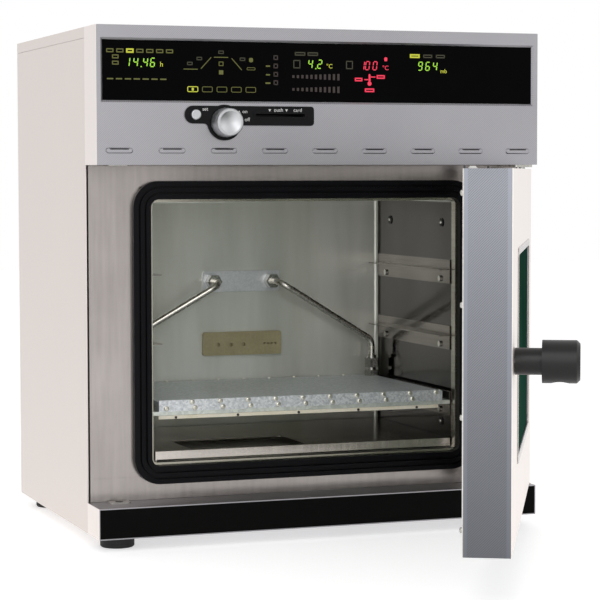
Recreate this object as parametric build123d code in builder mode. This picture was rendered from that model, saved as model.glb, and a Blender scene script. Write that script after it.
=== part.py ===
"""Vacuum oven with a cooled shelf, bench size. Millimetres; +Z up, the front looks along -Y.

The origin lies on the bench, under the middle of the footprint that the oven takes with its door ajar.
The door's pieces are modelled shut and then swung to the stored angle about the hinge pins.
"""

import os
from math import cos, radians, sin

from build123d import *

os.makedirs("parts", exist_ok=True)

# ---------------------------------------------------------------- casing
side_border = 82.5        # chamber to casing side
machine_space = 96.2      # chamber's back to the rear panel
fascia_height = 158.0
sheet = 1.2               # stainless casing sheet
seam = 0.3                # gap between casing sheets that meet
foot_height = 15.0
foot_size = 40.0
foot_inset = 13.0         # foot edge to casing side
plinth_height = 36.0
bay_border = 43.0         # chamber to the edges of the bay that the shut door fills
recess_depth = 52.0       # front frame behind the fascia's face
cover_flange = 12.5       # turned-down edge of the top cover
panel_return = 26.0       # folded edges of the side panels
pan_rise = 12.0           # upturned edge of the base pan

# ---------------------------------------------------------------- fascia
window_margin = 7.6       # fascia edge to display window
window_rise = 73.0        # fascia's bottom to the display window
window_height = 68.5
window_bevel = 2.2
display_thickness = 3.0
louvre_count = 9
louvre_length = 32.0
louvre_width = 6.6
louvre_slot = 1.2
louvre_rise = 1.5
louvre_margin = 10.5      # casing side to the first louvre
louvre_drop = 16.3        # fascia bottom to louvre middle
plate_thickness = 2.0
plate_left = -171.4
plate_right = -14.3
plate_rise = 67.6         # fascia's bottom to the control plate's top
plate_height = 22.3
plate_tail_height = 20.4  # the narrower end round the set button
button_x = -158.4
button_radius = 5.8
button_rise = 3.0
button_travel = 1.2
dial_x = -123.6
dial_rise = 48.5
dial_radius = 17.0
dial_nose_radius = 15.6
dial_height = 20.0
dial_dish = 3.2
dial_travel = 1.5
dial_shaft_radius = 3.0
lobe_radius = 20.5
card_slot_left = -86.2
card_slot_length = 60.0
card_slot_rise = 57.2
card_slot_width = 3.4

# ---------------------------------------------------------------- vessel
chamber_width = 385.0
chamber_height = 305.0
chamber_depth = 250.0     # collar flange to back wall
chamber_offset = -3.0     # left of the casing's middle
chamber_wall = 3.0
chamber_radius = 4.0
corner_round = 6.0        # side walls into the back wall
collar_lip = 2.5          # lip ahead of the collar flange
collar_flange = 8.2
collar_border = 28.5      # flange width round the mouth
opening_side = 16.5       # chamber to the square opening of the front frame
opening_high = 16.75
opening_rise = 1.25       # opening's middle above the chamber's
frame_sheet = 1.5
frame_return = 18.0
gasket_width = 21.2
gasket_proud = 8.0        # ahead of the front frame
gasket_radius = 31.0
gasket_groove = 2.6
gasket_groove_depth = 3.5

# ---------------------------------------------------------------- shelf
rail_count = 3
rail_first_rise = 57.0    # chamber floor to the lowest ledge
rail_pitch = 81.5
rail_sheet = 1.2
rail_above = 11.5
rail_below = 18.0
rail_ledge = 15.0
rail_start = 64.0         # depth of the rails' front ends
rail_end_gap = 6.8        # chamber's back wall to rails, shelf and tray
rail_screw_radius = 3.6
shelf_left_gap = 9.5
shelf_right_gap = 15.5
shelf_thickness = 11.8
carrier_sheet = 1.5
carrier_apron = 4.5
front_bar_height = 13.4
front_bar_thickness = 3.0
rivet_count = 10
first_rivet_margin = 9.2  # shelf's left edge to the lower row
rivet_row_shift = 31.5    # lower row to upper row
last_rivet_margin = 5.65  # upper row to the shelf's right edge
rivet_radius = 3.1
rivet_rise = 1.8
stud_radius = 2.4
stud_rise = 1.4
tray_sheet = 1.5
tray_lip = 9.5
tray_rise = 11.5          # chamber floor to tray
tray_front = 62.0
tray_cutout_width = 145.0
tray_cutout_depth = 90.0
tray_cutout_inset = 46.0

# ---------------------------------------------------------------- ports in the chamber's back wall
port_rise = 45.3          # chamber's middle to the ports
port_spacing = 80.0
port_plate_width = 105.0
port_plate_height = 27.0
port_plate_thickness = 3.0
fitting_flats = 17.0
fitting_length = 14.0
pipe_radius = 4.0
pipe_bore = 3.0
pipe_forward = 25.0       # straight run out of the wall fitting
shelf_port_inset = 14.5   # chamber side wall to the shelf's fitting
shelf_port_gap = 21.8     # chamber's back wall to the shelf's fitting
socket_width = 107.0
socket_height = 30.0
socket_proud = 6.8
socket_drop = 35.7        # chamber's middle to the sockets

# ---------------------------------------------------------------- door
door_side_gap = 4.0
door_top_gap = 5.0
door_bottom_gap = 3.0
door_thickness = 49.0
door_ajar = 62.0          # stored opening angle, degrees
hinge_inset = 11.0        # pin axis from the door's edge and from its face
hinge_pin_radius = 4.0
hinge_fit = 0.05
hinge_plate = 3.0
bush_radius = 7.0
bush_length = 14.5
window_free_side = 136.0  # door's edges to its window
window_hinge_side = 91.0
window_below = 81.0
window_above = 88.0
window_trim = 6.0
trim_rise = 1.2
outer_glass = 4.0
inner_glass_thickness = 12.0
glass_recess = 5.3        # inner glass behind the door's inner face
glass_lap = 5.0           # inner glass beyond the gasket
pane_travel = 2.0
pane_clearance = 2.0
clamp_length = 23.0
clamp_height = 18.0
clamp_sheet = 1.2

# ---------------------------------------------------------------- door lock
knob_edge = 56.0          # door's free edge to knob
knob_drop = 2.5           # chamber's middle to knob
neck_radius = 13.6
neck_length = 27.0
grip_radius = 21.8
grip_length = 38.0
grip_chamfer = 3.4
notch_radius = 22.0
notch_depth = 2.1
spindle_radius = 4.0
cam_radius = 14.0
cam_pin_circle = 11.0
cam_pin_radius = 2.0
cam_thickness = 5.0
cam_turn = 60.0           # knob travel, degrees
bolt_edge = 31.0          # door's free edge to bolt
bolt_depth = 41.0
bolt_radius = 4.5
upper_bolt_rise = 2.5     # tip beyond the door's edge when drawn back
lower_bolt_rise = 1.0
bolt_bar_width = 12.0
bolt_bar_thickness = 3.0
bolt_fit = 0.35

# ---------------------------------------------------------------- rear
spigot_radius = 8.0
spigot_reach = 30.0       # past the rear panel
air_radius = 4.0
union_radius = 5.0

# ---------------------------------------------------------------- derived places
casing_width = chamber_width + 2 * side_border
casing_depth = recess_depth + frame_sheet + seam + chamber_depth + machine_space
half_width = casing_width / 2
bay_base_z = foot_height + plinth_height
bay_height = chamber_height + 2 * bay_border
bay_top_z = bay_base_z + bay_height
casing_height = bay_top_z + fascia_height
cover_base_z = casing_height - cover_flange
chamber_middle_z = bay_base_z + bay_height / 2
ajar = radians(door_ajar)

hinge_x = half_width - door_side_gap - hinge_inset
door_hinge_edge_x = hinge_x + hinge_inset
door_free_x = -half_width + door_side_gap
door_base_z = bay_base_z + door_bottom_gap
door_top_z = bay_top_z - door_top_gap
knob_x = door_free_x + knob_edge
knob_z = chamber_middle_z - knob_drop
knob_reach = neck_length + grip_length
knob_gap = 0.5
reach_ahead = (
    (hinge_x - knob_x + grip_radius) * sin(ajar)
    + (hinge_inset + knob_reach) * cos(ajar)
    - hinge_inset
)
reach_behind = casing_depth + spigot_reach
front = (reach_ahead - reach_behind) / 2
back = front + casing_depth
frame_y = front + recess_depth

chamber_left = chamber_offset - chamber_width / 2
chamber_right = chamber_offset + chamber_width / 2
chamber_base_z = chamber_middle_z - chamber_height / 2
collar_y = frame_y + frame_sheet + seam
chamber_front = collar_y + collar_flange
chamber_back = collar_y + chamber_depth
shelf_end = chamber_back - rail_end_gap
rail_levels = [chamber_base_z + rail_first_rise + number * rail_pitch for number in range(rail_count)]
port_middle_z = chamber_middle_z + port_rise
socket_z = chamber_middle_z - socket_drop


def behind(depth):
    """Plane that faces the viewer, this far behind the casing's front. Its x is width, its y height."""
    return Plane.XZ.offset(-front - depth)


def facing(y):
    """Plane that faces the viewer at this y."""
    return Plane.XZ.offset(-y)


def span(left, right, base, top, radius=0.0, mode=Mode.ADD):
    """Rectangle between two edges each way, its corners rounded if a radius is given."""
    with Locations(((left + right) / 2, (base + top) / 2)):
        if radius > 0:
            RectangleRounded(right - left, top - base, radius, mode=mode)
        else:
            Rectangle(right - left, top - base, mode=mode)


def mouth(grow, radius=0.0, mode=Mode.ADD):
    """The chamber's mouth, this much larger on every side."""
    with Locations((chamber_offset, chamber_middle_z)):
        if radius > 0:
            RectangleRounded(chamber_width + 2 * grow, chamber_height + 2 * grow, radius, mode=mode)
        else:
            Rectangle(chamber_width + 2 * grow, chamber_height + 2 * grow, mode=mode)


def keep(piece, name):
    """Name a finished piece and write it."""
    piece.part.label = name
    export_step(piece.part, f"parts/{name}.step")


def keep_on_door(piece, name):
    """Swing a piece that was modelled on the shut door to the stored angle, name it and write it."""
    swung = piece.part.rotate(Axis((hinge_x, front + hinge_inset, 0), (0, 0, 1)), door_ajar)
    swung.label = name
    export_step(swung, f"parts/{name}.step")


# ================================================================ casing sheets


def side_panel(side):
    """Folded side panel: one outer sheet with returns along its top, bottom and rear edges."""
    with BuildPart() as panel:
        with BuildSketch(Plane.YZ.offset(side * half_width)):
            span(frame_y, back - sheet, foot_height, cover_base_z - seam)
        extrude(amount=-side * panel_return)
        inner = faces().filter_by(Axis.X).sort_by(Axis.X)[0 if side > 0 else -1]
        front_edge = faces().filter_by(Axis.Y).sort_by(Axis.Y)[0]
        offset(amount=-sheet, openings=[inner, front_edge])
    return panel


side_panel_left = side_panel(-1)
keep(side_panel_left, "side_panel_left")
side_panel_right = side_panel(1)
keep(side_panel_right, "side_panel_right")

with BuildPart() as top_cover:
    with BuildSketch(Plane.XY.offset(casing_height)):
        span(-half_width, half_width, frame_y, back)
    extrude(amount=-cover_flange)
    offset(amount=-sheet, openings=faces().sort_by(Axis.Z)[0])
keep(top_cover, "top_cover")

# The rear panel carries the ports: each is set out from the panel's own edges.
vacuum_inset = 155.0
air_inset = 215.0
mains_inset = 75.0
valve_rise = 46.0
vacuum_x = half_width - vacuum_inset
air_x = half_width - air_inset
valve_z = bay_top_z + valve_rise
mains_x = -half_width + mains_inset
vent_rows = 8
vent_pitch = 9.0
vent_width = 70.0
vent_slot = 3.6
mains_width = 30.0
mains_height = 23.0

with BuildPart() as rear_panel:
    with BuildSketch(facing(back)):
        span(-half_width, half_width, foot_height, cover_base_z - seam)
        with Locations((vacuum_x, valve_z)):
            Circle(spigot_radius + 2 + seam, mode=Mode.SUBTRACT)
        with Locations((air_x, valve_z)):
            Circle(air_radius + 2 + seam, mode=Mode.SUBTRACT)
        with Locations((mains_x, valve_z)):
            Rectangle(mains_width + 2 * seam, mains_height + 2 * seam, mode=Mode.SUBTRACT)
        with Locations((chamber_offset, port_middle_z)):
            with GridLocations(port_spacing, 1, 2, 1):
                Circle(union_radius + seam, mode=Mode.SUBTRACT)
        for bank_z in (cover_base_z - 50.0, foot_height + 60.0):
            with Locations((-half_width / 2, bank_z), (half_width / 2, bank_z)):
                with GridLocations(1, vent_pitch, 1, vent_rows):
                    Rectangle(vent_width, vent_slot, mode=Mode.SUBTRACT)
    extrude(amount=sheet)
keep(rear_panel, "rear_panel")

base_inner = half_width - sheet - seam
with BuildPart() as base_pan:
    with BuildSketch(Plane.XY.offset(foot_height + sheet)):
        span(-base_inner, base_inner, frame_y + seam, back - 2 * sheet - seam)
    extrude(amount=pan_rise)
    offset(amount=-sheet, openings=faces().sort_by(Axis.Z)[-1])
keep(base_pan, "base_pan")

with BuildPart() as plinth:
    with BuildSketch(behind(0)):
        span(-half_width, half_width, foot_height, bay_base_z)
        span(
            -half_width + sheet, half_width - sheet, foot_height + sheet, bay_base_z - sheet,
            mode=Mode.SUBTRACT,
        )
    extrude(amount=-recess_depth)
    with BuildSketch(Plane.XY.offset(bay_base_z)):
        with Locations((door_free_x + bolt_edge, front + bolt_depth)):
            Circle(bolt_radius + 2 * bolt_fit)
    extrude(amount=-sheet, mode=Mode.SUBTRACT)
keep(plinth, "plinth")

plinth_panel_thickness = 2.5
panel_setback = 0.5
with BuildPart() as plinth_panel:
    with BuildSketch(behind(panel_setback)):
        edge = sheet + seam
        span(-half_width + edge, half_width - edge, foot_height + edge, bay_base_z - edge)
    extrude(amount=-plinth_panel_thickness)
keep(plinth_panel, "plinth_panel")

foot_x = half_width - foot_inset - foot_size / 2
front_foot_y = front + 24.0 + foot_size / 2
rear_foot_y = back - 12.0 - foot_size / 2
with BuildPart() as feet:
    with BuildSketch(Plane.XY.offset(foot_height)):
        for foot_y in (front_foot_y, rear_foot_y):
            with Locations((-foot_x, foot_y), (foot_x, foot_y)):
                Circle(foot_size / 2)
    extrude(amount=-foot_height)
    chamfer(edges().group_by(Axis.Z)[0], 1.5)
keep(feet, "feet")

# ================================================================ fascia

window_half = half_width - window_margin
window_base_z = bay_top_z + window_rise
window_top_z = window_base_z + window_height
plate_top_z = bay_top_z + plate_rise
dial_z = bay_top_z + dial_rise
card_slot_z = bay_top_z + card_slot_rise
bezel_depth = 3.5
bezel_width = 2.5
bolt_x = door_free_x + bolt_edge
plate_right_base = plate_top_z - plate_height
plate_tail_base = plate_top_z - plate_tail_height
button_z = plate_top_z - plate_tail_height / 2
stem_fit = 0.3

with BuildPart() as fascia:
    with BuildSketch(behind(0)):
        span(-half_width, half_width, bay_top_z, casing_height)
    extrude(amount=-recess_depth)
    offset(amount=-sheet, openings=faces().filter_by(Axis.Y).sort_by(Axis.Y)[-1])
    # A folded edge round the display window, bevelled towards the viewer.
    with BuildSketch(behind(0)):
        span(
            -window_half - bezel_width, window_half + bezel_width,
            window_base_z - bezel_width, window_top_z + bezel_width,
        )
    extrude(amount=-bezel_depth)
    with BuildSketch(behind(0)):
        span(-window_half, window_half, window_base_z, window_top_z)
    extrude(amount=-bezel_depth, mode=Mode.SUBTRACT)
    rim = edges().filter_by_position(Axis.Y, front - 0.01, front + 0.01)
    rim = rim.filter_by_position(Axis.Z, window_base_z - 1, window_top_z + 1)
    chamfer(rim.filter_by_position(Axis.X, -window_half - 1, window_half + 1), window_bevel)
    # Pressed louvres: a raised hood with its mouth along the upper side.
    louvre_z = bay_top_z + louvre_drop
    louvre_pitch = (casing_width - 2 * louvre_margin - louvre_length) / (louvre_count - 1)
    with BuildSketch(behind(0)):
        with Locations((0, louvre_z)):
            with GridLocations(louvre_pitch, 1, louvre_count, 1):
                SlotOverall(louvre_length, louvre_width)
    extrude(amount=louvre_rise, taper=35)
    with BuildSketch(behind(-louvre_rise)):
        with Locations((0, louvre_z + louvre_width / 4)):
            with GridLocations(louvre_pitch, 1, louvre_count, 1):
                Rectangle(louvre_length - 1.5 * louvre_width, louvre_slot)
    extrude(amount=-louvre_rise - 2 * sheet, mode=Mode.SUBTRACT)
    # Holes behind the control plate, and the hole that the upper door bolt enters.
    with BuildSketch(behind(0)):
        with Locations((button_x, button_z)):
            Circle(button_radius + stem_fit)
        with Locations((dial_x, dial_z)):
            Circle(2 * dial_shaft_radius)
        with Locations((card_slot_left + card_slot_length / 2, card_slot_z)):
            Rectangle(card_slot_length, card_slot_width)
    extrude(amount=-sheet, mode=Mode.SUBTRACT)
    with BuildSketch(Plane.XY.offset(bay_top_z)):
        with Locations((bolt_x, front + bolt_depth)):
            Circle(bolt_radius + 2 * bolt_fit)
    extrude(amount=sheet, mode=Mode.SUBTRACT)
keep(fascia, "fascia")

display_setback = window_bevel + 0.2
with BuildPart() as display_window:
    with BuildSketch(behind(display_setback)):
        span(
            -window_half + seam, window_half - seam, window_base_z + seam, window_top_z - seam,
        )
    extrude(amount=-display_thickness)
keep(display_window, "display_window")

slot_border = 2.2
slot_border_rise = 0.8
with BuildPart() as control_plate:
    with BuildSketch(behind(0)):
        span(plate_left, dial_x, plate_tail_base, plate_top_z, plate_tail_height / 2 - 0.01)
        span(dial_x - lobe_radius / 2, plate_right, plate_right_base, plate_top_z, 4)
        span(plate_left + plate_tail_height / 2, dial_x, plate_tail_base, plate_top_z)
        with Locations((dial_x, dial_z)):
            Circle(lobe_radius)
        waist = vertices().sort_by_distance((dial_x - lobe_radius, plate_tail_base, 0))[0]
        fillet(waist, 5)
        with Locations((button_x, button_z)):
            Circle(button_radius + stem_fit, mode=Mode.SUBTRACT)
        with Locations((dial_x, dial_z)):
            Circle(dial_shaft_radius + stem_fit, mode=Mode.SUBTRACT)
    extrude(amount=plate_thickness)
    with BuildSketch(behind(-plate_thickness)):
        with Locations((card_slot_left + card_slot_length / 2, card_slot_z)):
            RectangleRounded(card_slot_length + 2 * slot_border, card_slot_width + 2 * slot_border, 1)
    extrude(amount=slot_border_rise)
    with BuildSketch(behind(0)):
        with Locations((card_slot_left + card_slot_length / 2, card_slot_z)):
            Rectangle(card_slot_length, card_slot_width)
    extrude(amount=plate_thickness + slot_border_rise, mode=Mode.SUBTRACT)
keep(control_plate, "control_plate")

reader_width = card_slot_length + 8.0
reader_height = 11.0
reader_depth = 42.0
with BuildPart() as card_reader:
    with BuildSketch(behind(sheet + seam)):
        with Locations((card_slot_left + card_slot_length / 2, card_slot_z)):
            Rectangle(reader_width, reader_height)
    extrude(amount=-reader_depth)
    with BuildSketch(behind(sheet + seam)):
        with Locations((card_slot_left + card_slot_length / 2, card_slot_z)):
            Rectangle(card_slot_length, card_slot_width)
    extrude(amount=-reader_depth + 4, mode=Mode.SUBTRACT)
keep(card_reader, "card_reader")

button_stop = 1.7
with BuildPart() as set_button:
    with BuildSketch(behind(-plate_thickness - button_rise)):
        with Locations((button_x, button_z)):
            Circle(button_radius)
    extrude(amount=-(plate_thickness + button_rise + sheet + seam))
    fillet(edges().filter_by(GeomType.CIRCLE).sort_by(Axis.Y)[0], 1.2)
    with BuildSketch(behind(sheet + seam)):
        with Locations((button_x, button_z)):
            Circle(button_radius + button_stop)
    extrude(amount=-2)
keep(set_button, "set_button")

dial_gap = dial_travel + 0.4
dial_back = front - plate_thickness - dial_gap
dial_front = dial_back - dial_height
shaft_grip = 12.0
shaft_tail = 24.0
with BuildPart() as dial_shaft:
    with BuildSketch(facing(dial_back - shaft_grip)):
        with Locations((dial_x, dial_z)):
            Circle(dial_shaft_radius)
    extrude(amount=-(shaft_grip + dial_gap + plate_thickness + shaft_tail))
    with BuildSketch(behind(sheet + seam)):
        with Locations((dial_x, dial_z)):
            Circle(3 * dial_shaft_radius)
    extrude(amount=-3)
keep(dial_shaft, "dial_shaft")

dish_rim = dial_nose_radius - 3.0
dish_radius = (dish_rim**2 + dial_dish**2) / (2 * dial_dish)
with BuildPart() as control_dial:
    with BuildSketch(facing(dial_front)):
        with Locations((dial_x, dial_z)):
            Circle(dial_nose_radius)
    extrude(amount=-dial_height)
    with BuildSketch(facing(dial_back)):
        with Locations((dial_x, dial_z)):
            Circle(dial_radius)
    extrude(amount=dial_height - 2 * dial_dish, taper=5)
    chamfer(edges().filter_by(GeomType.CIRCLE).sort_by(Axis.Y)[0], 1)
    with Locations((dial_x, dial_front + dial_dish - dish_radius, dial_z)):
        Sphere(dish_radius, mode=Mode.SUBTRACT)
    with BuildSketch(facing(dial_back)):
        with Locations((dial_x, dial_z)):
            Circle(dial_shaft_radius + 0.05)
    extrude(amount=shaft_grip + seam, mode=Mode.SUBTRACT)
keep(control_dial, "control_dial")

# ================================================================ inside the top housing

deck_z = bay_top_z + 4.0
deck_half = half_width - sheet - seam
line_inset = 35.0
line_y = back - line_inset
vacuum_line_radius = 6.0
air_line_radius = 4.0
line_entry_rise = 93.5
line_entry_z = chamber_middle_z + line_entry_rise
valve_size = 36.0
valve_base_z = valve_z - valve_size / 2

with BuildPart() as electronics_deck:
    with BuildSketch(Plane.XY.offset(deck_z)):
        span(-deck_half, deck_half, frame_y + 2, back - 2 * sheet - seam)
        with Locations((vacuum_x, line_y)):
            Circle(vacuum_line_radius + 1, mode=Mode.SUBTRACT)
        with Locations((air_x, line_y)):
            Circle(air_line_radius + 1, mode=Mode.SUBTRACT)
    extrude(amount=sheet)
keep(electronics_deck, "electronics_deck")

board = 1.6
board_leg = 6.0
main_board_width = 210.0
main_board_depth = 130.0
main_board_x = 45.0
main_board_inset = 60.0
main_board_y = frame_y + main_board_inset + main_board_depth / 2
board_margin = 10.0
deck_top_z = deck_z + sheet
with BuildPart() as circuit_boards:
    with BuildSketch(behind(display_setback + display_thickness + seam)):
        span(-window_half + 15, window_half - 15, window_base_z + 6, window_top_z - 6)
    extrude(amount=-board)
    with BuildSketch(Plane.XY.offset(deck_top_z + board_leg)):
        with Locations((main_board_x, main_board_y)):
            Rectangle(main_board_width, main_board_depth)
    extrude(amount=board)
    with BuildSketch(Plane.XY.offset(deck_top_z)):
        with Locations((main_board_x, main_board_y)):
            with GridLocations(
                main_board_width - 2 * board_margin, main_board_depth - 2 * board_margin, 2, 2
            ):
                Rectangle(board_leg, board_leg)
    extrude(amount=board_leg)
keep(circuit_boards, "circuit_boards")

supply_width = 130.0
supply_depth = 110.0
supply_height = 70.0
supply_inset = 45.0
supply_x = -half_width + supply_inset + supply_width / 2
supply_y = frame_y + main_board_inset + supply_depth / 2
with BuildPart() as power_supply:
    with BuildSketch(Plane.XY.offset(deck_top_z)):
        with Locations((supply_x, supply_y)):
            Rectangle(supply_width, supply_depth)
    extrude(amount=supply_height)
    chamfer(edges().filter_by(Axis.Z), 3)
keep(power_supply, "power_supply")

with BuildPart() as solenoid_valves:
    with BuildSketch(Plane.XY.offset(valve_base_z)):
        with Locations((vacuum_x, line_y), (air_x, line_y)):
            Rectangle(valve_size, valve_size)
    extrude(amount=valve_size)
    with BuildSketch(Plane.XY.offset(valve_base_z + valve_size)):
        with Locations((vacuum_x, line_y), (air_x, line_y)):
            Circle(valve_size / 3)
    extrude(amount=valve_size)
keep(solenoid_valves, "solenoid_valves")


def bent_tube(points, bend, radius, bore):
    """Tube swept along straight runs with tangent bends."""
    with BuildPart() as tube:
        with BuildLine() as path:
            FilletPolyline(*points, radius=bend)
        with BuildSketch(path.line ^ 0):
            Circle(radius)
            if bore > 0:
                Circle(bore, mode=Mode.SUBTRACT)
        sweep()
    return tube


chamber_outer_back = chamber_back + chamber_wall
with BuildPart() as valve_lines:
    for line_x, line_radius in ((vacuum_x, vacuum_line_radius), (air_x, air_line_radius)):
        add(
            bent_tube(
                [
                    (line_x, chamber_outer_back, line_entry_z),
                    (line_x, line_y, line_entry_z),
                    (line_x, line_y, valve_base_z),
                ],
                3 * line_radius, line_radius, 0,
            ).part
        )
keep(valve_lines, "valve_lines")

# ================================================================ rear connections


def rear_spigot(x, radius, reach, flats):
    """Hose spigot with its hexagon against the rear panel, from the valve out to the hose."""
    with BuildPart() as spigot:
        with BuildSketch(facing(back + reach)):
            with Locations((x, valve_z)):
                Circle(radius)
                Circle(radius * 0.6, mode=Mode.SUBTRACT)
        extrude(amount=reach)
        with BuildSketch(facing(back + 6)):
            with Locations((x, valve_z)):
                RegularPolygon(flats / 2, 6, major_radius=False)
        extrude(amount=6)
        with BuildSketch(facing(back)):
            with Locations((x, valve_z)):
                Circle(radius + 2)
        extrude(amount=back - line_y - valve_size / 2)
    return spigot


vacuum_spigot = rear_spigot(vacuum_x, spigot_radius, spigot_reach, 27)
keep(vacuum_spigot, "vacuum_spigot")
air_nozzle = rear_spigot(air_x, air_radius, spigot_reach - 8, 17)
keep(air_nozzle, "air_nozzle")

coolant_tail = 8.0        # wall fitting's tail outside the vessel
union_reach = 24.0
with BuildPart() as coolant_unions:
    with BuildSketch(facing(back + union_reach)):
        with Locations((chamber_offset, port_middle_z)):
            with GridLocations(port_spacing, 1, 2, 1):
                Circle(union_radius)
    extrude(amount=union_reach + back - chamber_outer_back - coolant_tail)
    with BuildSketch(facing(back + 6)):
        with Locations((chamber_offset, port_middle_z)):
            with GridLocations(port_spacing, 1, 2, 1):
                RegularPolygon(fitting_flats / 2, 6, major_radius=False)
    extrude(amount=6)
keep(coolant_unions, "coolant_unions")

mains_flange = 3.0
mains_body = 22.0
with BuildPart() as mains_inlet:
    with BuildSketch(facing(back + mains_flange)):
        with Locations((mains_x, valve_z)):
            RectangleRounded(50, 28, 5)
    extrude(amount=mains_flange)
    with BuildSketch(facing(back)):
        with Locations((mains_x, valve_z)):
            Rectangle(mains_width, mains_height)
    extrude(amount=mains_body)
    with BuildSketch(facing(back + mains_flange)):
        with Locations((mains_x, valve_z)):
            RectangleRounded(mains_width - 5, mains_height - 5, 3)
    extrude(amount=mains_flange + mains_body - 4, mode=Mode.SUBTRACT)
    with BuildSketch(facing(back - 2)):
        with Locations((mains_x - 7, valve_z - 2), (mains_x, valve_z + 2), (mains_x + 7, valve_z - 2)):
            Rectangle(2, 4)
    extrude(amount=mains_body - 5)
keep(mains_inlet, "mains_inlet")

# ================================================================ vessel

opening_width = chamber_width + 2 * opening_side
opening_height = chamber_height + 2 * opening_high
opening_middle_z = chamber_middle_z + opening_rise
opening_base_z = opening_middle_z - opening_height / 2
opening_top_z = opening_middle_z + opening_height / 2
frame_half = half_width - sheet - 2.3
frame_seam = 0.6

with BuildPart() as front_frame:
    with BuildSketch(facing(frame_y)):
        span(-frame_half, frame_half, bay_base_z + seam, bay_top_z - seam)
    extrude(amount=-frame_return)
    offset(amount=-frame_sheet, openings=faces().filter_by(Axis.Y).sort_by(Axis.Y)[-1])
    with BuildSketch(facing(frame_y)):
        with Locations((chamber_offset, opening_middle_z)):
            Rectangle(opening_width, opening_height)
    extrude(amount=-frame_sheet, mode=Mode.SUBTRACT)
    # Joints between the frame's uprights and its cross strips.
    with BuildSketch(facing(frame_y)):
        for joint_z in (opening_base_z, opening_top_z):
            with Locations((0, joint_z)):
                Rectangle(2 * frame_half, frame_seam)
    extrude(amount=-frame_sheet / 3, mode=Mode.SUBTRACT)
keep(front_frame, "front_frame")

socket_tail_width = socket_width - 15.0
socket_tail_height = socket_height - 8.0
with BuildPart() as chamber:
    with BuildSketch(facing(chamber_front)):
        mouth(chamber_wall, chamber_radius + chamber_wall)
    extrude(amount=-(chamber_outer_back - chamber_front))
    with BuildSketch(facing(chamber_front)):
        mouth(0, chamber_radius)
    extrude(amount=-(chamber_back - chamber_front), mode=Mode.SUBTRACT)
    fillet(edges().filter_by_position(Axis.Y, chamber_back - 0.1, chamber_back + 0.1), corner_round)
    with BuildSketch(facing(chamber_back)):
        with Locations((chamber_offset, port_middle_z)):
            with GridLocations(port_spacing, 1, 2, 1):
                Circle(union_radius + 1 + seam)
        with Locations((chamber_offset, socket_z)):
            Rectangle(socket_tail_width + 2 * seam, socket_tail_height + 2 * seam)
    extrude(amount=-chamber_wall, mode=Mode.SUBTRACT)
keep(chamber, "chamber")

gasket_inner = chamber_wall + seam
gasket_outer = gasket_inner + gasket_width
gasket_inner_radius = gasket_radius - gasket_width

with BuildPart() as chamber_collar:
    with BuildSketch(facing(collar_y - collar_lip)):
        mouth(chamber_wall, gasket_inner_radius - seam)
        mouth(0, chamber_radius, Mode.SUBTRACT)
    extrude(amount=-(collar_lip + collar_flange))
    with BuildSketch(facing(collar_y)):
        mouth(collar_border, chamber_radius + chamber_wall)
        mouth(0, chamber_radius, Mode.SUBTRACT)
    extrude(amount=-collar_flange)
keep(chamber_collar, "chamber_collar")

gasket_front = frame_y - gasket_proud
with BuildPart() as door_gasket:
    with BuildSketch(facing(gasket_front)):
        mouth(gasket_outer, gasket_radius)
        mouth(gasket_inner, gasket_inner_radius, Mode.SUBTRACT)
    extrude(amount=-gasket_proud + seam)
    with BuildSketch(facing(frame_y - seam)):
        with Locations((chamber_offset, chamber_middle_z)):
            RectangleRounded(
                opening_width - 2, opening_height - 2 * opening_rise - 1, gasket_radius - 8,
            )
        mouth(gasket_inner, gasket_inner_radius, Mode.SUBTRACT)
    extrude(amount=-(collar_y - frame_y + seam))
    # Two grooves leave three sealing ribs.
    for step in (1, 2):
        ring = gasket_inner + step * gasket_width / 3
        corner = gasket_inner_radius + step * gasket_width / 3
        with BuildSketch(facing(gasket_front)):
            mouth(ring + gasket_groove / 2, corner + gasket_groove / 2)
            mouth(ring - gasket_groove / 2, corner - gasket_groove / 2, Mode.SUBTRACT)
        extrude(amount=-gasket_groove_depth, mode=Mode.SUBTRACT)
keep(door_gasket, "door_gasket")

mat_thickness = 2.0
mat_margin = 25.0
with BuildPart() as heater_mats:
    with BuildSketch(facing(chamber_front + mat_margin)):
        for side in (-1, 1):
            middle = chamber_offset + side * (chamber_width / 2 + chamber_wall + seam + mat_thickness / 2)
            with Locations((middle, chamber_middle_z)):
                Rectangle(mat_thickness, chamber_height - 2 * mat_margin)
            level = chamber_middle_z + side * (chamber_height / 2 + chamber_wall + seam + mat_thickness / 2)
            with Locations((chamber_offset, level)):
                Rectangle(chamber_width - 2 * mat_margin, mat_thickness)
    extrude(amount=-(chamber_back - chamber_front - 2 * mat_margin))
keep(heater_mats, "heater_mats")

insulation_thickness = 24.0
jacket_inner = chamber_wall + mat_thickness + 2 * seam
with BuildPart() as insulation:
    with BuildSketch(facing(chamber_front + 1)):
        mouth(jacket_inner + insulation_thickness)
        mouth(jacket_inner, mode=Mode.SUBTRACT)
    extrude(amount=-(chamber_outer_back - chamber_front - 1))
    with BuildSketch(facing(chamber_outer_back + seam)):
        mouth(jacket_inner + insulation_thickness)
        with Locations((chamber_offset, port_middle_z)):
            with GridLocations(port_spacing, 1, 2, 1):
                Circle(union_radius + 3, mode=Mode.SUBTRACT)
        with Locations((chamber_offset, socket_z)):
            Rectangle(socket_width, socket_height, mode=Mode.SUBTRACT)
        with Locations((vacuum_x, line_entry_z)):
            Circle(vacuum_line_radius + 1, mode=Mode.SUBTRACT)
        with Locations((air_x, line_entry_z)):
            Circle(air_line_radius + 1, mode=Mode.SUBTRACT)
    extrude(amount=-insulation_thickness)
keep(insulation, "insulation")

# ================================================================ shelf rails


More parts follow.
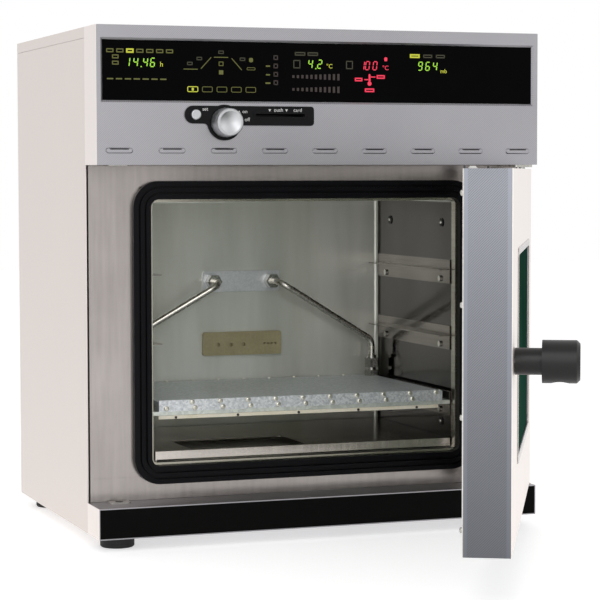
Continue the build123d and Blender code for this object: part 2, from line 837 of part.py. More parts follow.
def side_rails(side):
    """Three wall plates, each with a ledge folded out of it."""
    wall = chamber_offset + side * chamber_width / 2
    face = wall - side * seam
    with BuildPart() as rails:
        with BuildSketch(behind(rail_start)):
            for ledge_z in rail_levels:
                plate = sorted((face, face - side * rail_sheet))
                span(*plate, ledge_z - rail_below, ledge_z + rail_above)
                ledge = sorted((face, face - side * rail_ledge))
                span(*ledge, ledge_z - rail_sheet, ledge_z)
        extrude(amount=-(shelf_end - front - rail_start))
    return rails


shelf_rails_left = side_rails(-1)
keep(shelf_rails_left, "shelf_rails_left")
shelf_rails_right = side_rails(1)
keep(shelf_rails_right, "shelf_rails_right")

rail_screw_drop = 12.5
rail_screw_inset = 28.0
rail_screw_head = 2.2
with BuildPart() as rail_screws:
    for side in (-1, 1):
        head_x = chamber_offset + side * (chamber_width / 2 - seam - rail_sheet)
        with BuildSketch(Plane.YZ.offset(head_x)):
            for ledge_z in rail_levels:
                with Locations(
                    (front + rail_start + rail_screw_inset, ledge_z - rail_screw_drop),
                    (shelf_end - rail_screw_inset, ledge_z - rail_screw_drop),
                ):
                    Circle(rail_screw_radius)
        extrude(amount=-side * rail_screw_head)
keep(rail_screws, "rail_screws")

# ================================================================ cooled shelf

shelf_left = chamber_left + shelf_left_gap
shelf_right = chamber_right - shelf_right_gap
shelf_port_y = chamber_back - shelf_port_gap
shelf_seat_z = rail_levels[0]
carrier_top_z = shelf_seat_z + carrier_sheet
shelf_top_z = carrier_top_z + shelf_thickness
carrier_front = rail_start - 2.5
bar_front = carrier_front - front_bar_thickness + carrier_sheet
carrier_clear = seam + rail_sheet + 0.6

with BuildPart() as shelf_carrier:
    with BuildSketch(behind(carrier_front)):
        span(
            chamber_left + carrier_clear, chamber_right - carrier_clear, shelf_seat_z, carrier_top_z,
        )
    extrude(amount=-(shelf_end - front - carrier_front))
    with BuildSketch(behind(carrier_front)):
        span(
            chamber_left + carrier_clear, chamber_right - carrier_clear,
            carrier_top_z - carrier_apron, carrier_top_z,
        )
    extrude(amount=-carrier_sheet)
keep(shelf_carrier, "shelf_carrier")

with BuildPart() as shelf_plate:
    with BuildSketch(Plane.XY.offset(carrier_top_z)):
        span(shelf_left, shelf_right + 4, front + carrier_front + carrier_sheet, shelf_end)
    extrude(amount=shelf_thickness)
keep(shelf_plate, "shelf_plate")

bar_base_z = carrier_top_z
with BuildPart() as shelf_front_bar:
    with BuildSketch(behind(bar_front)):
        span(shelf_left, shelf_right, bar_base_z, bar_base_z + front_bar_height)
    extrude(amount=-front_bar_thickness)
keep(shelf_front_bar, "shelf_front_bar")

lower_rivet_x = shelf_left + first_rivet_margin
upper_rivet_x = lower_rivet_x + rivet_row_shift
rivet_pitch = (shelf_right - last_rivet_margin - upper_rivet_x) / (rivet_count - 1)
rivet_inset = 2.9
with BuildPart() as shelf_rivets:
    with BuildSketch(behind(bar_front)):
        for first_x, rivet_z in (
            (upper_rivet_x, bar_base_z + front_bar_height - rivet_inset),
            (lower_rivet_x, bar_base_z + rivet_inset + 0.6),
        ):
            for number in range(rivet_count):
                with Locations((first_x + number * rivet_pitch, rivet_z)):
                    Circle(rivet_radius)
    extrude(amount=rivet_rise)
    fillet(edges().group_by(Axis.Y)[0], rivet_rise * 0.9)
    # Studs along the shelf's rear edge.
    with BuildSketch(Plane.XY.offset(shelf_top_z)):
        for number in range(rivet_count):
            with Locations((lower_rivet_x + number * rivet_pitch, shelf_end - stud_radius - 1)):
                Circle(stud_radius)
    extrude(amount=stud_rise, taper=20)
keep(shelf_rivets, "shelf_rivets")

cover_drop = 7.4
with BuildPart() as shelf_bottom_cover:
    with BuildSketch(behind(carrier_front + carrier_sheet + seam)):
        span(
            chamber_left + rail_ledge + 2, chamber_right - rail_ledge - 2,
            shelf_seat_z - cover_drop, shelf_seat_z - seam,
        )
    extrude(amount=-(shelf_end - front - carrier_front - 12))
    with BuildSketch(behind(carrier_front)):
        span(
            shelf_left, shelf_right - 6,
            shelf_seat_z - cover_drop, carrier_top_z - carrier_apron - seam,
        )
    extrude(amount=-(carrier_sheet + seam))
keep(shelf_bottom_cover, "shelf_bottom_cover")

tray_left = chamber_left + 5.5
tray_right = chamber_right - 1.5
tray_top_z = chamber_base_z + tray_rise
tray_back = shelf_end
cutout_x = tray_left + tray_cutout_inset
cutout_y = front + tray_front + 8.0
with BuildPart() as floor_tray:
    with BuildSketch(Plane.YZ.offset(tray_left)):
        span(front + tray_front, tray_back, tray_top_z - tray_sheet, tray_top_z)
        span(
            front + tray_front, front + tray_front + tray_sheet,
            tray_top_z - tray_lip, tray_top_z,
        )
    extrude(amount=tray_right - tray_left)
    with BuildSketch(Plane.XY.offset(tray_top_z)):
        span(cutout_x, cutout_x + tray_cutout_width, cutout_y, cutout_y + tray_cutout_depth, 3)
    extrude(amount=-tray_sheet, mode=Mode.SUBTRACT)
    with BuildSketch(facing(front + tray_front)):
        for edge_x in (tray_left, tray_right - chamber_radius - tray_sheet):
            span(edge_x, edge_x + tray_sheet, chamber_base_z + seam, tray_top_z)
    extrude(amount=-(tray_back - front - tray_front - 2))
keep(floor_tray, "floor_tray")

# ================================================================ coolant and sockets

port_x = (chamber_offset - port_spacing / 2, chamber_offset + port_spacing / 2)
shelf_port_x = (
    chamber_left + shelf_port_inset + 2.5,
    chamber_right - shelf_port_inset - 2.5,
)
port_face = chamber_back - port_plate_thickness

with BuildPart() as port_plate:
    with BuildSketch(facing(chamber_back)):
        with Locations((chamber_offset, port_middle_z)):
            RectangleRounded(port_plate_width, port_plate_height, 3)
            with GridLocations(port_spacing, 1, 2, 1):
                Circle(union_radius + 1 + seam, mode=Mode.SUBTRACT)
    extrude(amount=port_plate_thickness)
keep(port_plate, "port_plate")

fitting_front = port_face - fitting_length
with BuildPart() as wall_fittings:
    with BuildSketch(facing(port_face)):
        with Locations((chamber_offset, port_middle_z)):
            with GridLocations(port_spacing, 1, 2, 1):
                RegularPolygon(fitting_flats / 2, 6, major_radius=False)
    extrude(amount=fitting_length)
    chamfer(edges().group_by(Axis.Y)[0], 1)
    with BuildSketch(facing(port_face)):
        with Locations((chamber_offset, port_middle_z)):
            with GridLocations(port_spacing, 1, 2, 1):
                Circle(union_radius + 1)
    extrude(amount=-(port_plate_thickness + chamber_wall + coolant_tail))
keep(wall_fittings, "wall_fittings")

# Compression fittings stand on the shelf's rear corners: hexagon, neck and union nut.
body_height = 7.6
neck_height = 3.8
neck_width = 11.0
nut_height = 12.0
ferrule_height = 4.0
ferrule_width = 12.5
step_z = shelf_top_z
with BuildPart() as shelf_fittings:
    for hex_height, round_height, round_width in (
        (body_height, neck_height, neck_width),
        (nut_height, ferrule_height, ferrule_width),
    ):
        with BuildSketch(Plane.XY.offset(step_z)):
            with Locations(*[(x, shelf_port_y) for x in shelf_port_x]):
                RegularPolygon(fitting_flats / 2, 6, major_radius=False)
        extrude(amount=hex_height)
        step_z += hex_height
        with BuildSketch(Plane.XY.offset(step_z)):
            with Locations(*[(x, shelf_port_y) for x in shelf_port_x]):
                Circle(round_width / 2)
        extrude(amount=round_height)
        step_z += round_height
keep(shelf_fittings, "shelf_fittings")

pipe_knee_rise = 20.0
pipe_end_z = step_z


def coolant_pipe(index):
    """Pipe from a wall fitting, forward, round and down to the shelf's corner."""
    start_x, end_x = port_x[index], shelf_port_x[index]
    run_y = fitting_front - pipe_forward
    return bent_tube(
        [
            (start_x, fitting_front, port_middle_z),
            (start_x, run_y, port_middle_z),
            (end_x, shelf_port_y, pipe_end_z + pipe_knee_rise),
            (end_x, shelf_port_y, pipe_end_z),
        ],
        14.0, pipe_radius, pipe_bore,
    )


coolant_pipe_left = coolant_pipe(0)
keep(coolant_pipe_left, "coolant_pipe_left")
coolant_pipe_right = coolant_pipe(1)
keep(coolant_pipe_right, "coolant_pipe_right")

socket_hole_z = socket_z - 1.3
with BuildPart() as socket_block:
    with BuildSketch(facing(chamber_back)):
        with Locations((chamber_offset, socket_z)):
            RectangleRounded(socket_width, socket_height, 2.5)
    extrude(amount=socket_proud)
    with BuildSketch(facing(chamber_back)):
        with Locations((chamber_offset, socket_z)):
            Rectangle(socket_tail_width, socket_tail_height)
    extrude(amount=-(chamber_wall + 10))
    with BuildSketch(facing(chamber_back - socket_proud)):
        for number in range(3):
            with Locations((chamber_offset - 33.5 + number * 17.4, socket_hole_z)):
                Circle(2.6)
        for number in range(4):
            with Locations((chamber_offset + 30 + number * 5.1, socket_hole_z + 0.6)):
                Circle(1.4)
    extrude(amount=-(socket_proud - 2), mode=Mode.SUBTRACT)
keep(socket_block, "socket_block")

# ================================================================ hinge and keepers (casing side)

hinge_y = front + hinge_inset
pin_reach = bush_length
washer = door_bottom_gap - seam
hinge_plate_reach = 13.0

with BuildPart() as hinge_plates:
    for face_z, grow in ((bay_top_z, -1), (bay_base_z, 1)):
        thickness = hinge_plate if grow < 0 else hinge_plate - 1
        with BuildSketch(Plane.XY.offset(face_z)):
            span(
                hinge_x - hinge_plate_reach, hinge_x + hinge_inset, front + 3, frame_y - seam, 3,
            )
        extrude(amount=grow * thickness)
        with BuildSketch(Plane.XY.offset(face_z)):
            with Locations((hinge_x, hinge_y)):
                Circle(hinge_pin_radius)
        extrude(amount=grow * (door_top_gap if grow < 0 else door_bottom_gap) + grow * pin_reach)
    with BuildSketch(Plane.XY.offset(bay_base_z)):
        with Locations((hinge_x, hinge_y)):
            Circle(bush_radius)
    extrude(amount=washer)
keep(hinge_plates, "hinge_plates")

keeper_length = 24.0
keeper_width = 16.0
keeper_sheet = 1.2
with BuildPart() as bolt_keepers:
    for face_z, grow in ((bay_top_z, -1), (bay_base_z, 1)):
        with BuildSketch(Plane.XY.offset(face_z)):
            with Locations((bolt_x, front + bolt_depth)):
                RectangleRounded(keeper_length, keeper_width, 2)
                Circle(bolt_radius + bolt_fit, mode=Mode.SUBTRACT)
        extrude(amount=grow * keeper_sheet)
keep(bolt_keepers, "bolt_keepers")

# ================================================================ door

window_left = door_free_x + window_free_side
window_right = door_hinge_edge_x - window_hinge_side
door_window_base = door_base_z + window_below
door_window_top = door_top_z - window_above
panel_front = door_thickness - sheet
recess_grow = gasket_outer + 7.0
ring_depth = 18.0

with BuildPart() as door_shell:
    with BuildSketch(behind(0)):
        span(door_free_x, door_hinge_edge_x, door_base_z, door_top_z)
    extrude(amount=-panel_front)
    offset(amount=-sheet, openings=faces().filter_by(Axis.Y).sort_by(Axis.Y)[-1])
    with BuildSketch(behind(0)):
        span(window_left, window_right, door_window_base, door_window_top, 6)
        with Locations((knob_x, knob_z)):
            Circle(spindle_radius + 3 + seam)
    extrude(amount=-sheet, mode=Mode.SUBTRACT)
    for face_z, grow in ((door_top_z, -1), (door_base_z, 1)):
        with BuildSketch(Plane.XY.offset(face_z)):
            with Locations((bolt_x, front + bolt_depth)):
                Circle(bolt_radius + bolt_fit)
            with Locations((hinge_x, hinge_y)):
                Circle(hinge_pin_radius + 1.5)
        extrude(amount=grow * sheet, mode=Mode.SUBTRACT)
keep_on_door(door_shell, "door_shell")

with BuildPart() as door_inner_panel:
    with BuildSketch(behind(panel_front)):
        span(door_free_x, door_hinge_edge_x, door_base_z, door_top_z)
        mouth(recess_grow, 4, Mode.SUBTRACT)
    extrude(amount=-sheet)
    with BuildSketch(behind(door_thickness)):
        mouth(recess_grow + sheet, 4 + sheet)
        mouth(recess_grow, 4, Mode.SUBTRACT)
    extrude(amount=ring_depth)
keep_on_door(door_inner_panel, "door_inner_panel")

with BuildPart() as window_frame:
    with BuildSketch(behind(0)):
        span(
            window_left - window_trim, window_right + window_trim,
            door_window_base - window_trim, door_window_top + window_trim, 9,
        )
        span(
            window_left + 2, window_right - 2, door_window_base + 2, door_window_top - 2, 5,
            Mode.SUBTRACT,
        )
    extrude(amount=trim_rise)
    chamfer(faces().sort_by(Axis.Y)[0].edges(), 0.7)
keep_on_door(window_frame, "window_frame")

with BuildPart() as door_window:
    with BuildSketch(behind(sheet)):
        span(window_left - 8, window_right + 8, door_window_base - 8, door_window_top + 8)
    extrude(amount=-outer_glass)
keep_on_door(door_window, "door_window")

glass_face = door_thickness - glass_recess
glass_front = glass_face - inner_glass_thickness
duct_front = sheet + outer_glass + seam
duct_back = glass_front - pane_travel - seam
with BuildPart() as window_duct:
    with BuildSketch(behind(duct_front)):
        span(
            window_left - sheet, window_right + sheet, door_window_base - sheet, door_window_top + sheet,
        )
        span(window_left, window_right, door_window_base, door_window_top, mode=Mode.SUBTRACT)
    extrude(amount=-(duct_back - duct_front))
    with BuildSketch(behind(duct_back)):
        mouth(recess_grow - seam, 3)
        span(window_left, window_right, door_window_base, door_window_top, mode=Mode.SUBTRACT)
    extrude(amount=sheet)
keep_on_door(window_duct, "window_duct")

with BuildPart() as hinge_bushes:
    for face_z, grow in ((door_top_z - sheet, -1), (door_base_z + sheet, 1)):
        with BuildSketch(Plane.XY.offset(face_z)):
            with Locations((hinge_x, hinge_y)):
                Circle(bush_radius)
                Circle(hinge_pin_radius + hinge_fit, mode=Mode.SUBTRACT)
        extrude(amount=grow * bush_length)
keep_on_door(hinge_bushes, "hinge_bushes")

bearing_depth = 5.5
with BuildPart() as knob_bearing:
    with BuildSketch(behind(0)):
        with Locations((knob_x, knob_z)):
            Circle(spindle_radius + 3)
    extrude(amount=-bearing_depth)
    with BuildSketch(behind(sheet)):
        with Locations((knob_x, knob_z)):
            Circle(spindle_radius + 6)
    extrude(amount=-(bearing_depth - sheet))
    with BuildSketch(behind(0)):
        with Locations((knob_x, knob_z)):
            Circle(spindle_radius + hinge_fit)
    extrude(amount=-bearing_depth, mode=Mode.SUBTRACT)
keep_on_door(knob_bearing, "knob_bearing")

with BuildPart() as inner_glass:
    with BuildSketch(behind(glass_face)):
        mouth(recess_grow - pane_clearance, 6)
    extrude(amount=inner_glass_thickness)
keep_on_door(inner_glass, "inner_glass")

glass_half_width = chamber_width / 2 + recess_grow
glass_half_height = chamber_height / 2 + recess_grow
clamp_lap = 10.0
clamp_seat = 1.5
with BuildPart() as glass_clamps:
    for side in (-1, 1):
        for rise in (-1, 1):
            corner_x = chamber_offset + side * (glass_half_width - clamp_lap - pane_clearance)
            corner_z = chamber_middle_z + rise * (glass_half_height - clamp_lap + pane_clearance)
            plate = sorted((corner_x, corner_x + side * clamp_length))
            tall = sorted((corner_z, corner_z + rise * clamp_height))
            with BuildSketch(behind(door_thickness)):
                span(*plate, *tall)
            extrude(amount=-clamp_sheet)
            nose = sorted((corner_x, chamber_offset + side * (glass_half_width - clamp_seat)))
            nose_tall = sorted((corner_z, chamber_middle_z + rise * (glass_half_height - clamp_seat)))
            with BuildSketch(behind(glass_face + seam)):
                span(*nose, *nose_tall)
            extrude(amount=-(door_thickness - glass_face - seam))
keep_on_door(glass_clamps, "glass_clamps")

# ================================================================ knob, cam and bolts

cam_front = 12.0
cam_back = cam_front + cam_thickness
upper_bar_front = cam_back + 3.5
lower_bar_front = bearing_depth + 0.7
half_turn = radians(cam_turn / 2)
pin_offset_x = cam_pin_circle * cos(half_turn)
pin_offset_z = cam_pin_circle * sin(half_turn)
bolt_travel = 2 * pin_offset_z

grip_start = knob_gap + neck_length
with BuildPart() as knob_spindle:
    with BuildSketch(behind(-grip_start)):
        with Locations((knob_x, knob_z)):
            Circle(spindle_radius)
    extrude(amount=-(grip_start + cam_front))
    with BuildSketch(behind(cam_front)):
        with Locations((knob_x, knob_z)):
            Circle(cam_radius)
    extrude(amount=-cam_thickness)
    with BuildSketch(behind(cam_back)):
        with Locations((knob_x - pin_offset_x, knob_z - pin_offset_z)):
            Circle(cam_pin_radius)
    extrude(amount=-(upper_bar_front + bolt_bar_thickness + 0.5 - cam_back))
    with BuildSketch(behind(cam_front)):
        with Locations((knob_x + pin_offset_x, knob_z + pin_offset_z)):
            Circle(cam_pin_radius)
    extrude(amount=cam_front - lower_bar_front + 0.5)
keep_on_door(knob_spindle, "knob_spindle")

with BuildPart() as knob_grip:
    with BuildSketch(behind(-grip_start - grip_length)):
        with Locations((knob_x, knob_z)):
            Circle(grip_radius)
    extrude(amount=-grip_length)
    chamfer(edges().filter_by(GeomType.CIRCLE).sort_by(Axis.Y)[0], grip_chamfer)
    # Finger notch across the grip's underside.
    with BuildSketch(Plane.YZ.offset(knob_x)):
        with Locations(
            (front - grip_start - 0.47 * grip_length, knob_z - grip_radius - notch_radius + notch_depth)
        ):
            Circle(notch_radius)
    extrude(amount=grip_radius, both=True, mode=Mode.SUBTRACT)
    with BuildSketch(behind(-grip_start)):
        with Locations((knob_x, knob_z)):
            Circle(neck_radius)
            Circle(spindle_radius + hinge_fit, mode=Mode.SUBTRACT)
    extrude(amount=-neck_length)
keep_on_door(knob_grip, "knob_grip")

slot_length = 2 * cam_pin_radius + cam_pin_circle - pin_offset_x + 1.0
slot_height = 2 * cam_pin_radius + 0.7
yoke_margin = 2.5


tip_length = sheet + bolt_travel + 1.0


def bolt_tip(rise, bar_front, tip_rise):
    """Round tip of a bolt: a pin with a domed end, on a block that leads out to the bolt's line."""
    edge_z = door_top_z if rise > 0 else door_base_z
    block_z = edge_z - rise * tip_length
    with BuildPart() as tip:
        with BuildSketch(Plane.XY.offset(block_z)):
            span(
                bolt_x - bolt_bar_width / 2, bolt_x + bolt_bar_width / 2,
                front + bar_front, front + bolt_depth + bolt_radius,
            )
        extrude(amount=-rise * 6)
        with BuildSketch(Plane.XY.offset(block_z)):
            with Locations((bolt_x, front + bolt_depth)):
                Circle(bolt_radius)
        extrude(amount=rise * (tip_length + tip_rise))
        rim = edges().filter_by(GeomType.CIRCLE).sort_by(Axis.Z)[-1 if rise > 0 else 0]
        chamfer(rim, bolt_radius * 0.4)
    return tip


with BuildPart() as upper_bolt:
    pin_x, pin_z = knob_x - pin_offset_x, knob_z - pin_offset_z
    slot_x = pin_x - (cam_pin_circle - pin_offset_x) / 2
    with BuildSketch(behind(upper_bar_front)):
        span(
            bolt_x - bolt_bar_width / 2, slot_x + slot_length / 2 + yoke_margin,
            pin_z - slot_height / 2 - yoke_margin, pin_z + slot_height / 2 + yoke_margin,
        )
        span(
            bolt_x - bolt_bar_width / 2, bolt_x + bolt_bar_width / 2,
            pin_z, door_top_z - sheet - bolt_travel - 1.0,
        )
        with Locations((slot_x, pin_z)):
            SlotOverall(slot_length, slot_height, mode=Mode.SUBTRACT)
    extrude(amount=-bolt_bar_thickness)
    add(bolt_tip(1, upper_bar_front, upper_bolt_rise).part)
keep_on_door(upper_bolt, "upper_bolt")

with BuildPart() as lower_bolt:
    pin_x, pin_z = knob_x + pin_offset_x, knob_z + pin_offset_z
    slot_x = pin_x + (cam_pin_circle - pin_offset_x) / 2
    link_top = knob_z - spindle_radius - 2.0
    link_base = link_top - 10.0
    with BuildSketch(behind(lower_bar_front)):
        span(
            slot_x - slot_length / 2 - yoke_margin, slot_x + slot_length / 2 + yoke_margin,
            link_base, pin_z + slot_height / 2 + yoke_margin,
        )
        span(
            bolt_x - bolt_bar_width / 2, slot_x + slot_length / 2 + yoke_margin, link_base, link_top,
        )
        span(
            bolt_x - bolt_bar_width / 2, bolt_x + bolt_bar_width / 2,
            door_base_z + sheet + bolt_travel + 1.0, link_top,
        )
        with Locations((slot_x, pin_z)):
            SlotOverall(slot_length, slot_height, mode=Mode.SUBTRACT)
    extrude(amount=-bolt_bar_thickness)
    add(bolt_tip(-1, lower_bar_front, lower_bolt_rise).part)
keep_on_door(lower_bolt, "lower_bolt")

print("front face at y", round(front, 3), "hinge axis at", round(hinge_x, 3), round(hinge_y, 3))
print("bolt travel", round(bolt_travel, 3), "knob at", round(knob_x, 2), knob_z)
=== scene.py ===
# %% [markdown]
# # A vacuum oven, dressed
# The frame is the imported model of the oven: every sheet, rail and knob already has its shape and
# its place. This script gives each of them the finish that its real counterpart has, adds the
# fine pieces that a solid model leaves out, and sets up a studio round the whole.

import math

import bpy
from mathutils import Matrix, Vector


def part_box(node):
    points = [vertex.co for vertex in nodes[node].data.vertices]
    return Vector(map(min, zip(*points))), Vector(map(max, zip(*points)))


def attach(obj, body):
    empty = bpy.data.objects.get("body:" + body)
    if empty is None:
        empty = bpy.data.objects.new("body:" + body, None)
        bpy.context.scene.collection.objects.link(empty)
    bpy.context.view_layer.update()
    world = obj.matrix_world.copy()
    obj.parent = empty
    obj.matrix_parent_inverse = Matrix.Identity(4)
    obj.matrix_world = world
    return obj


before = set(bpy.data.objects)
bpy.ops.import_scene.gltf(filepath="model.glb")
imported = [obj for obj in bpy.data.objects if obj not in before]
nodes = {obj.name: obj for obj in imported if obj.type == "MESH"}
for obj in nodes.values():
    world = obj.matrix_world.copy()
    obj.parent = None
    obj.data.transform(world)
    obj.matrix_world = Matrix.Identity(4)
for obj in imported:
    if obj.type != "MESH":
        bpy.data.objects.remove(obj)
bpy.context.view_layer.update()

# %% [markdown]
# ## Where things are
# New pieces have to sit on the solid ones, so the faces that carry them are measured from the
# solids' own boxes, and only the layout on a face is typed in, in millimetres. The door is ajar,
# so a piece on it is made as if the door were shut and then swung about the hinge.

# %% Key places
mm = 0.001
door_ajar = math.radians(62.0)
door_thickness = 49 * mm
hinge_inset = 11 * mm
chamber_sheet = 3 * mm
fascia_low = Vector(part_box("fascia")[0])
display_low = Vector(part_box("display_window")[0])
cover_low = Vector(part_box("shelf_bottom_cover")[0])
plate_high = Vector(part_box("control_plate")[1])
rear_high = Vector(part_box("rear_panel")[1])
chamber_low, chamber_high = (Vector(corner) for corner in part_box("chamber"))
bush_low, bush_high = (Vector(corner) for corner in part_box("hinge_bushes"))
hinge_line = Vector(((bush_low.x + bush_high.x) / 2, (bush_low.y + bush_high.y) / 2, 0))
oven_front = hinge_line.y - hinge_inset
wall_left = chamber_low.x + chamber_sheet
wall_right = chamber_high.x - chamber_sheet
swing = (
    Matrix.Translation(hinge_line)
    @ Matrix.Rotation(door_ajar, 4, "Z")
    @ Matrix.Translation(-hinge_line)
)
print("front of the oven at y", round(oven_front, 4))
print("hinge at", [round(value, 4) for value in hinge_line])

# %% [markdown]
# ## Tools for materials
# Colours are written the way a paint chart gives them, as sRGB hex, and one function makes them
# linear for the shader. One small function adds a node with its settings and its links, so a
# material reads as a short recipe.

# %% Colour and node helpers


def linear(code):
    """Turn an sRGB hex colour into linear values for the shader."""
    parts = [int(code[place:place + 2], 16) / 255 for place in (1, 3, 5)]
    parts = [p / 12.92 if p <= 0.04045 else ((p + 0.055) / 1.055) ** 2.4 for p in parts]
    return (*parts, 1.0)


def add_node(tree, kind, links=None, **settings):
    """Add a node, set its properties and sockets by name, and link other sockets into it."""
    node = tree.nodes.new(kind)
    for name, value in settings.items():
        if hasattr(node, name):
            setattr(node, name, value)
        else:
            node.inputs[name.replace("_", " ").strip()].default_value = value
    for name, source in (links or {}).items():
        tree.links.new(source, node.inputs[name])
    return node


def start_material(name, colour, metallic, roughness, **sockets):
    """A new material with its shader's constants set, and object coordinates ready to use."""
    material = bpy.data.materials.new(name)
    material.use_nodes = True
    tree = material.node_tree
    shader = tree.nodes["Principled BSDF"]
    shader.inputs["Base Color"].default_value = linear(colour)
    shader.inputs["Metallic"].default_value = metallic
    shader.inputs["Roughness"].default_value = roughness
    for socket, value in sockets.items():
        shader.inputs[socket.replace("_", " ")].default_value = value
    place = add_node(tree, "ShaderNodeTexCoord")
    return material, tree, shader, place.outputs["Object"]


def tint(tree, shader, pattern, dark, light, low=0.3, high=0.7):
    """Let a pattern run the base colour from one hex colour to another."""
    ramp = add_node(tree, "ShaderNodeValToRGB", {"Fac": pattern})
    ramp.color_ramp.elements[0].position = low
    ramp.color_ramp.elements[1].position = high
    ramp.color_ramp.elements[0].color = linear(dark)
    ramp.color_ramp.elements[1].color = linear(light)
    tree.links.new(ramp.outputs["Color"], shader.inputs["Base Color"])
    return ramp


def relief(tree, shader, pattern, depth, strength):
    """Let a pattern raise the surface by a real depth in metres."""
    bump = add_node(
        tree, "ShaderNodeBump", {"Height": pattern}, Strength=strength, Distance=depth
    )
    tree.links.new(bump.outputs["Normal"], shader.inputs["Normal"])


def gloss(tree, shader, pattern, low, high):
    """Let a pattern run the roughness between two values."""
    span = add_node(tree, "ShaderNodeMapRange", {"Value": pattern}, To_Min=low, To_Max=high)
    tree.links.new(span.outputs["Result"], shader.inputs["Roughness"])


print("helpers ready")

# %% [markdown]
# ## Textured stainless steel
# The casing is rolled between patterned rollers, which press a fine diagonal weave into the sheet
# so that it doesn't show fingers. Its lines are drawn nearly two millimetres apart, a little
# coarser than the real ones, so that they show. A wave texture turned to the diagonal gives the
# lines, a little noise breaks them up, and a small bump lets them catch the light. On the door
# the pattern is turned back by the opening angle, so that it runs over the door as it did when
# the sheet was flat.
#
# One sheet can look different on each of its faces, because each face mirrors another part of the
# room. A test on the place of the shaded point paints this into the colour: the outer face of the
# door gets a pale painted reflection, and the left returns of the front pieces get painted light,
# as pale as the lit side panel. The door's edge also gets painted shade, darker towards the floor,
# and the weave stops short of its folds.

# %% Casing steels
weave_pitch = 1.8 * mm
edge_border = 5 * mm  # plain strip beside each fold of the door's edge
# Painted shade: over this height the door's edge is painted darker towards the floor.
painted_shade_height = 0.42   # height over which the door's edge darkens


def rolled_steel(name, dark, light, roughness, turn=0.0, lean=-1.0, depth=0.00003):
    """Stainless sheet with a rolled diagonal weave."""
    material, tree, shader, place = start_material(name, light, 1.0, roughness)
    turned = add_node(tree, "ShaderNodeMapping", {"Vector": place}, Rotation=(0, 0, turn))
    leaning = add_node(
        tree, "ShaderNodeMapping", {"Vector": turned.outputs["Vector"]}, Scale=(1, 1, lean)
    )
    weave = add_node(
        tree, "ShaderNodeTexWave", {"Vector": leaning.outputs["Vector"]},
        wave_type="BANDS", bands_direction="DIAGONAL",
        Scale=2 * math.pi / (10 * math.sqrt(2) * weave_pitch), Distortion=1.2, Detail=1.0,
    )
    cloud = add_node(tree, "ShaderNodeTexNoise", {"Vector": place}, Scale=9.0, Detail=3.0)
    both = add_node(
        tree, "ShaderNodeMix", {"A": weave.outputs["Fac"], "B": cloud.outputs["Fac"]}, Factor=0.35
    )
    tint(tree, shader, both.outputs["Result"], dark, light, 0.2, 0.85)
    gloss(tree, shader, cloud.outputs["Fac"], roughness - 0.05, roughness + 0.07)
    relief(tree, shader, weave.outputs["Fac"], depth, 0.5)
    return material


def door_sheet(name):
    """The door's rolled steel: outer face painted pale as a painted reflection, folded edges darker
    with lighter borders and painted shade towards the floor.
    """
    material = rolled_steel(name, "#75777D", "#919399", 0.40, turn=-door_ajar, lean=1.0)
    tree = material.node_tree
    shader = tree.nodes["Principled BSDF"]
    edge_tone = shader.inputs["Base Color"].links[0].from_socket
    place = add_node(tree, "ShaderNodeTexCoord").outputs["Object"]
    shut = add_node(
        tree, "ShaderNodeVectorRotate", {"Vector": place},
        rotation_type="Z_AXIS", Center=tuple(hinge_line), Angle=-door_ajar,
    )
    depth = add_node(tree, "ShaderNodeSeparateXYZ", {"Vector": shut.outputs["Vector"]})
    # Painted reflection: the outer face gets its own pale colour for the white room it mirrors.
    outer = add_node(tree, "ShaderNodeMath", {0: depth.outputs["Y"]}, operation="LESS_THAN")
    outer.inputs[1].default_value = oven_front + 0.5 * mm
    border = add_node(tree, "ShaderNodeMath", {0: depth.outputs["Y"]}, operation="COMPARE")
    border.inputs[1].default_value = oven_front + door_thickness / 2
    border.inputs[2].default_value = door_thickness / 2 - edge_border
    fold = add_node(
        tree, "ShaderNodeMix", {"Factor": border.outputs["Value"], "B": edge_tone},
        data_type="RGBA",
    )
    fold.inputs["A"].default_value = linear("#8E9199")
    # Painted shade: the edge's colour is multiplied darker towards the floor.
    low = add_node(
        tree, "ShaderNodeMapRange", {"Value": depth.outputs["Z"]},
        From_Min=0.0, From_Max=painted_shade_height, To_Min=0.45, To_Max=1.0,
    )
    shade = add_node(
        tree, "ShaderNodeMix", {"A": fold.outputs["Result"], "B": low.outputs["Result"]},
        data_type="RGBA", blend_type="MULTIPLY",
    )
    shade.inputs["Factor"].default_value = 1.0
    face = add_node(
        tree, "ShaderNodeMix",
        {"Factor": outer.outputs["Value"], "A": shade.outputs["Result"]}, data_type="RGBA",
    )
    face.inputs["B"].default_value = linear("#EAE2DD")
    tree.links.new(face.outputs["Result"], shader.inputs["Base Color"])
    return material


def front_sheet(name):
    """Rolled steel of the front pieces, whose left returns get painted light, as pale as the lit
    side panel.
    """
    material = rolled_steel(name, "#95949A", "#ABA9AB", 0.34)
    tree = material.node_tree
    shader = tree.nodes["Principled BSDF"]
    front_tone = shader.inputs["Base Color"].links[0].from_socket
    place = add_node(tree, "ShaderNodeTexCoord").outputs["Object"]
    across = add_node(tree, "ShaderNodeSeparateXYZ", {"Vector": place})
    # Painted light: the left returns are given the pale tone of the lit side panel.
    side = add_node(tree, "ShaderNodeMath", {0: across.outputs["X"]}, operation="LESS_THAN")
    side.inputs[1].default_value = fascia_low.x + 0.4 * mm
    painted_light_return = add_node(
        tree, "ShaderNodeMix", {"Factor": side.outputs["Value"], "A": front_tone},
        data_type="RGBA",
    )
    painted_light_return.inputs["B"].default_value = linear("#E6DEDA")
    tree.links.new(painted_light_return.outputs["Result"], shader.inputs["Base Color"])
    return material


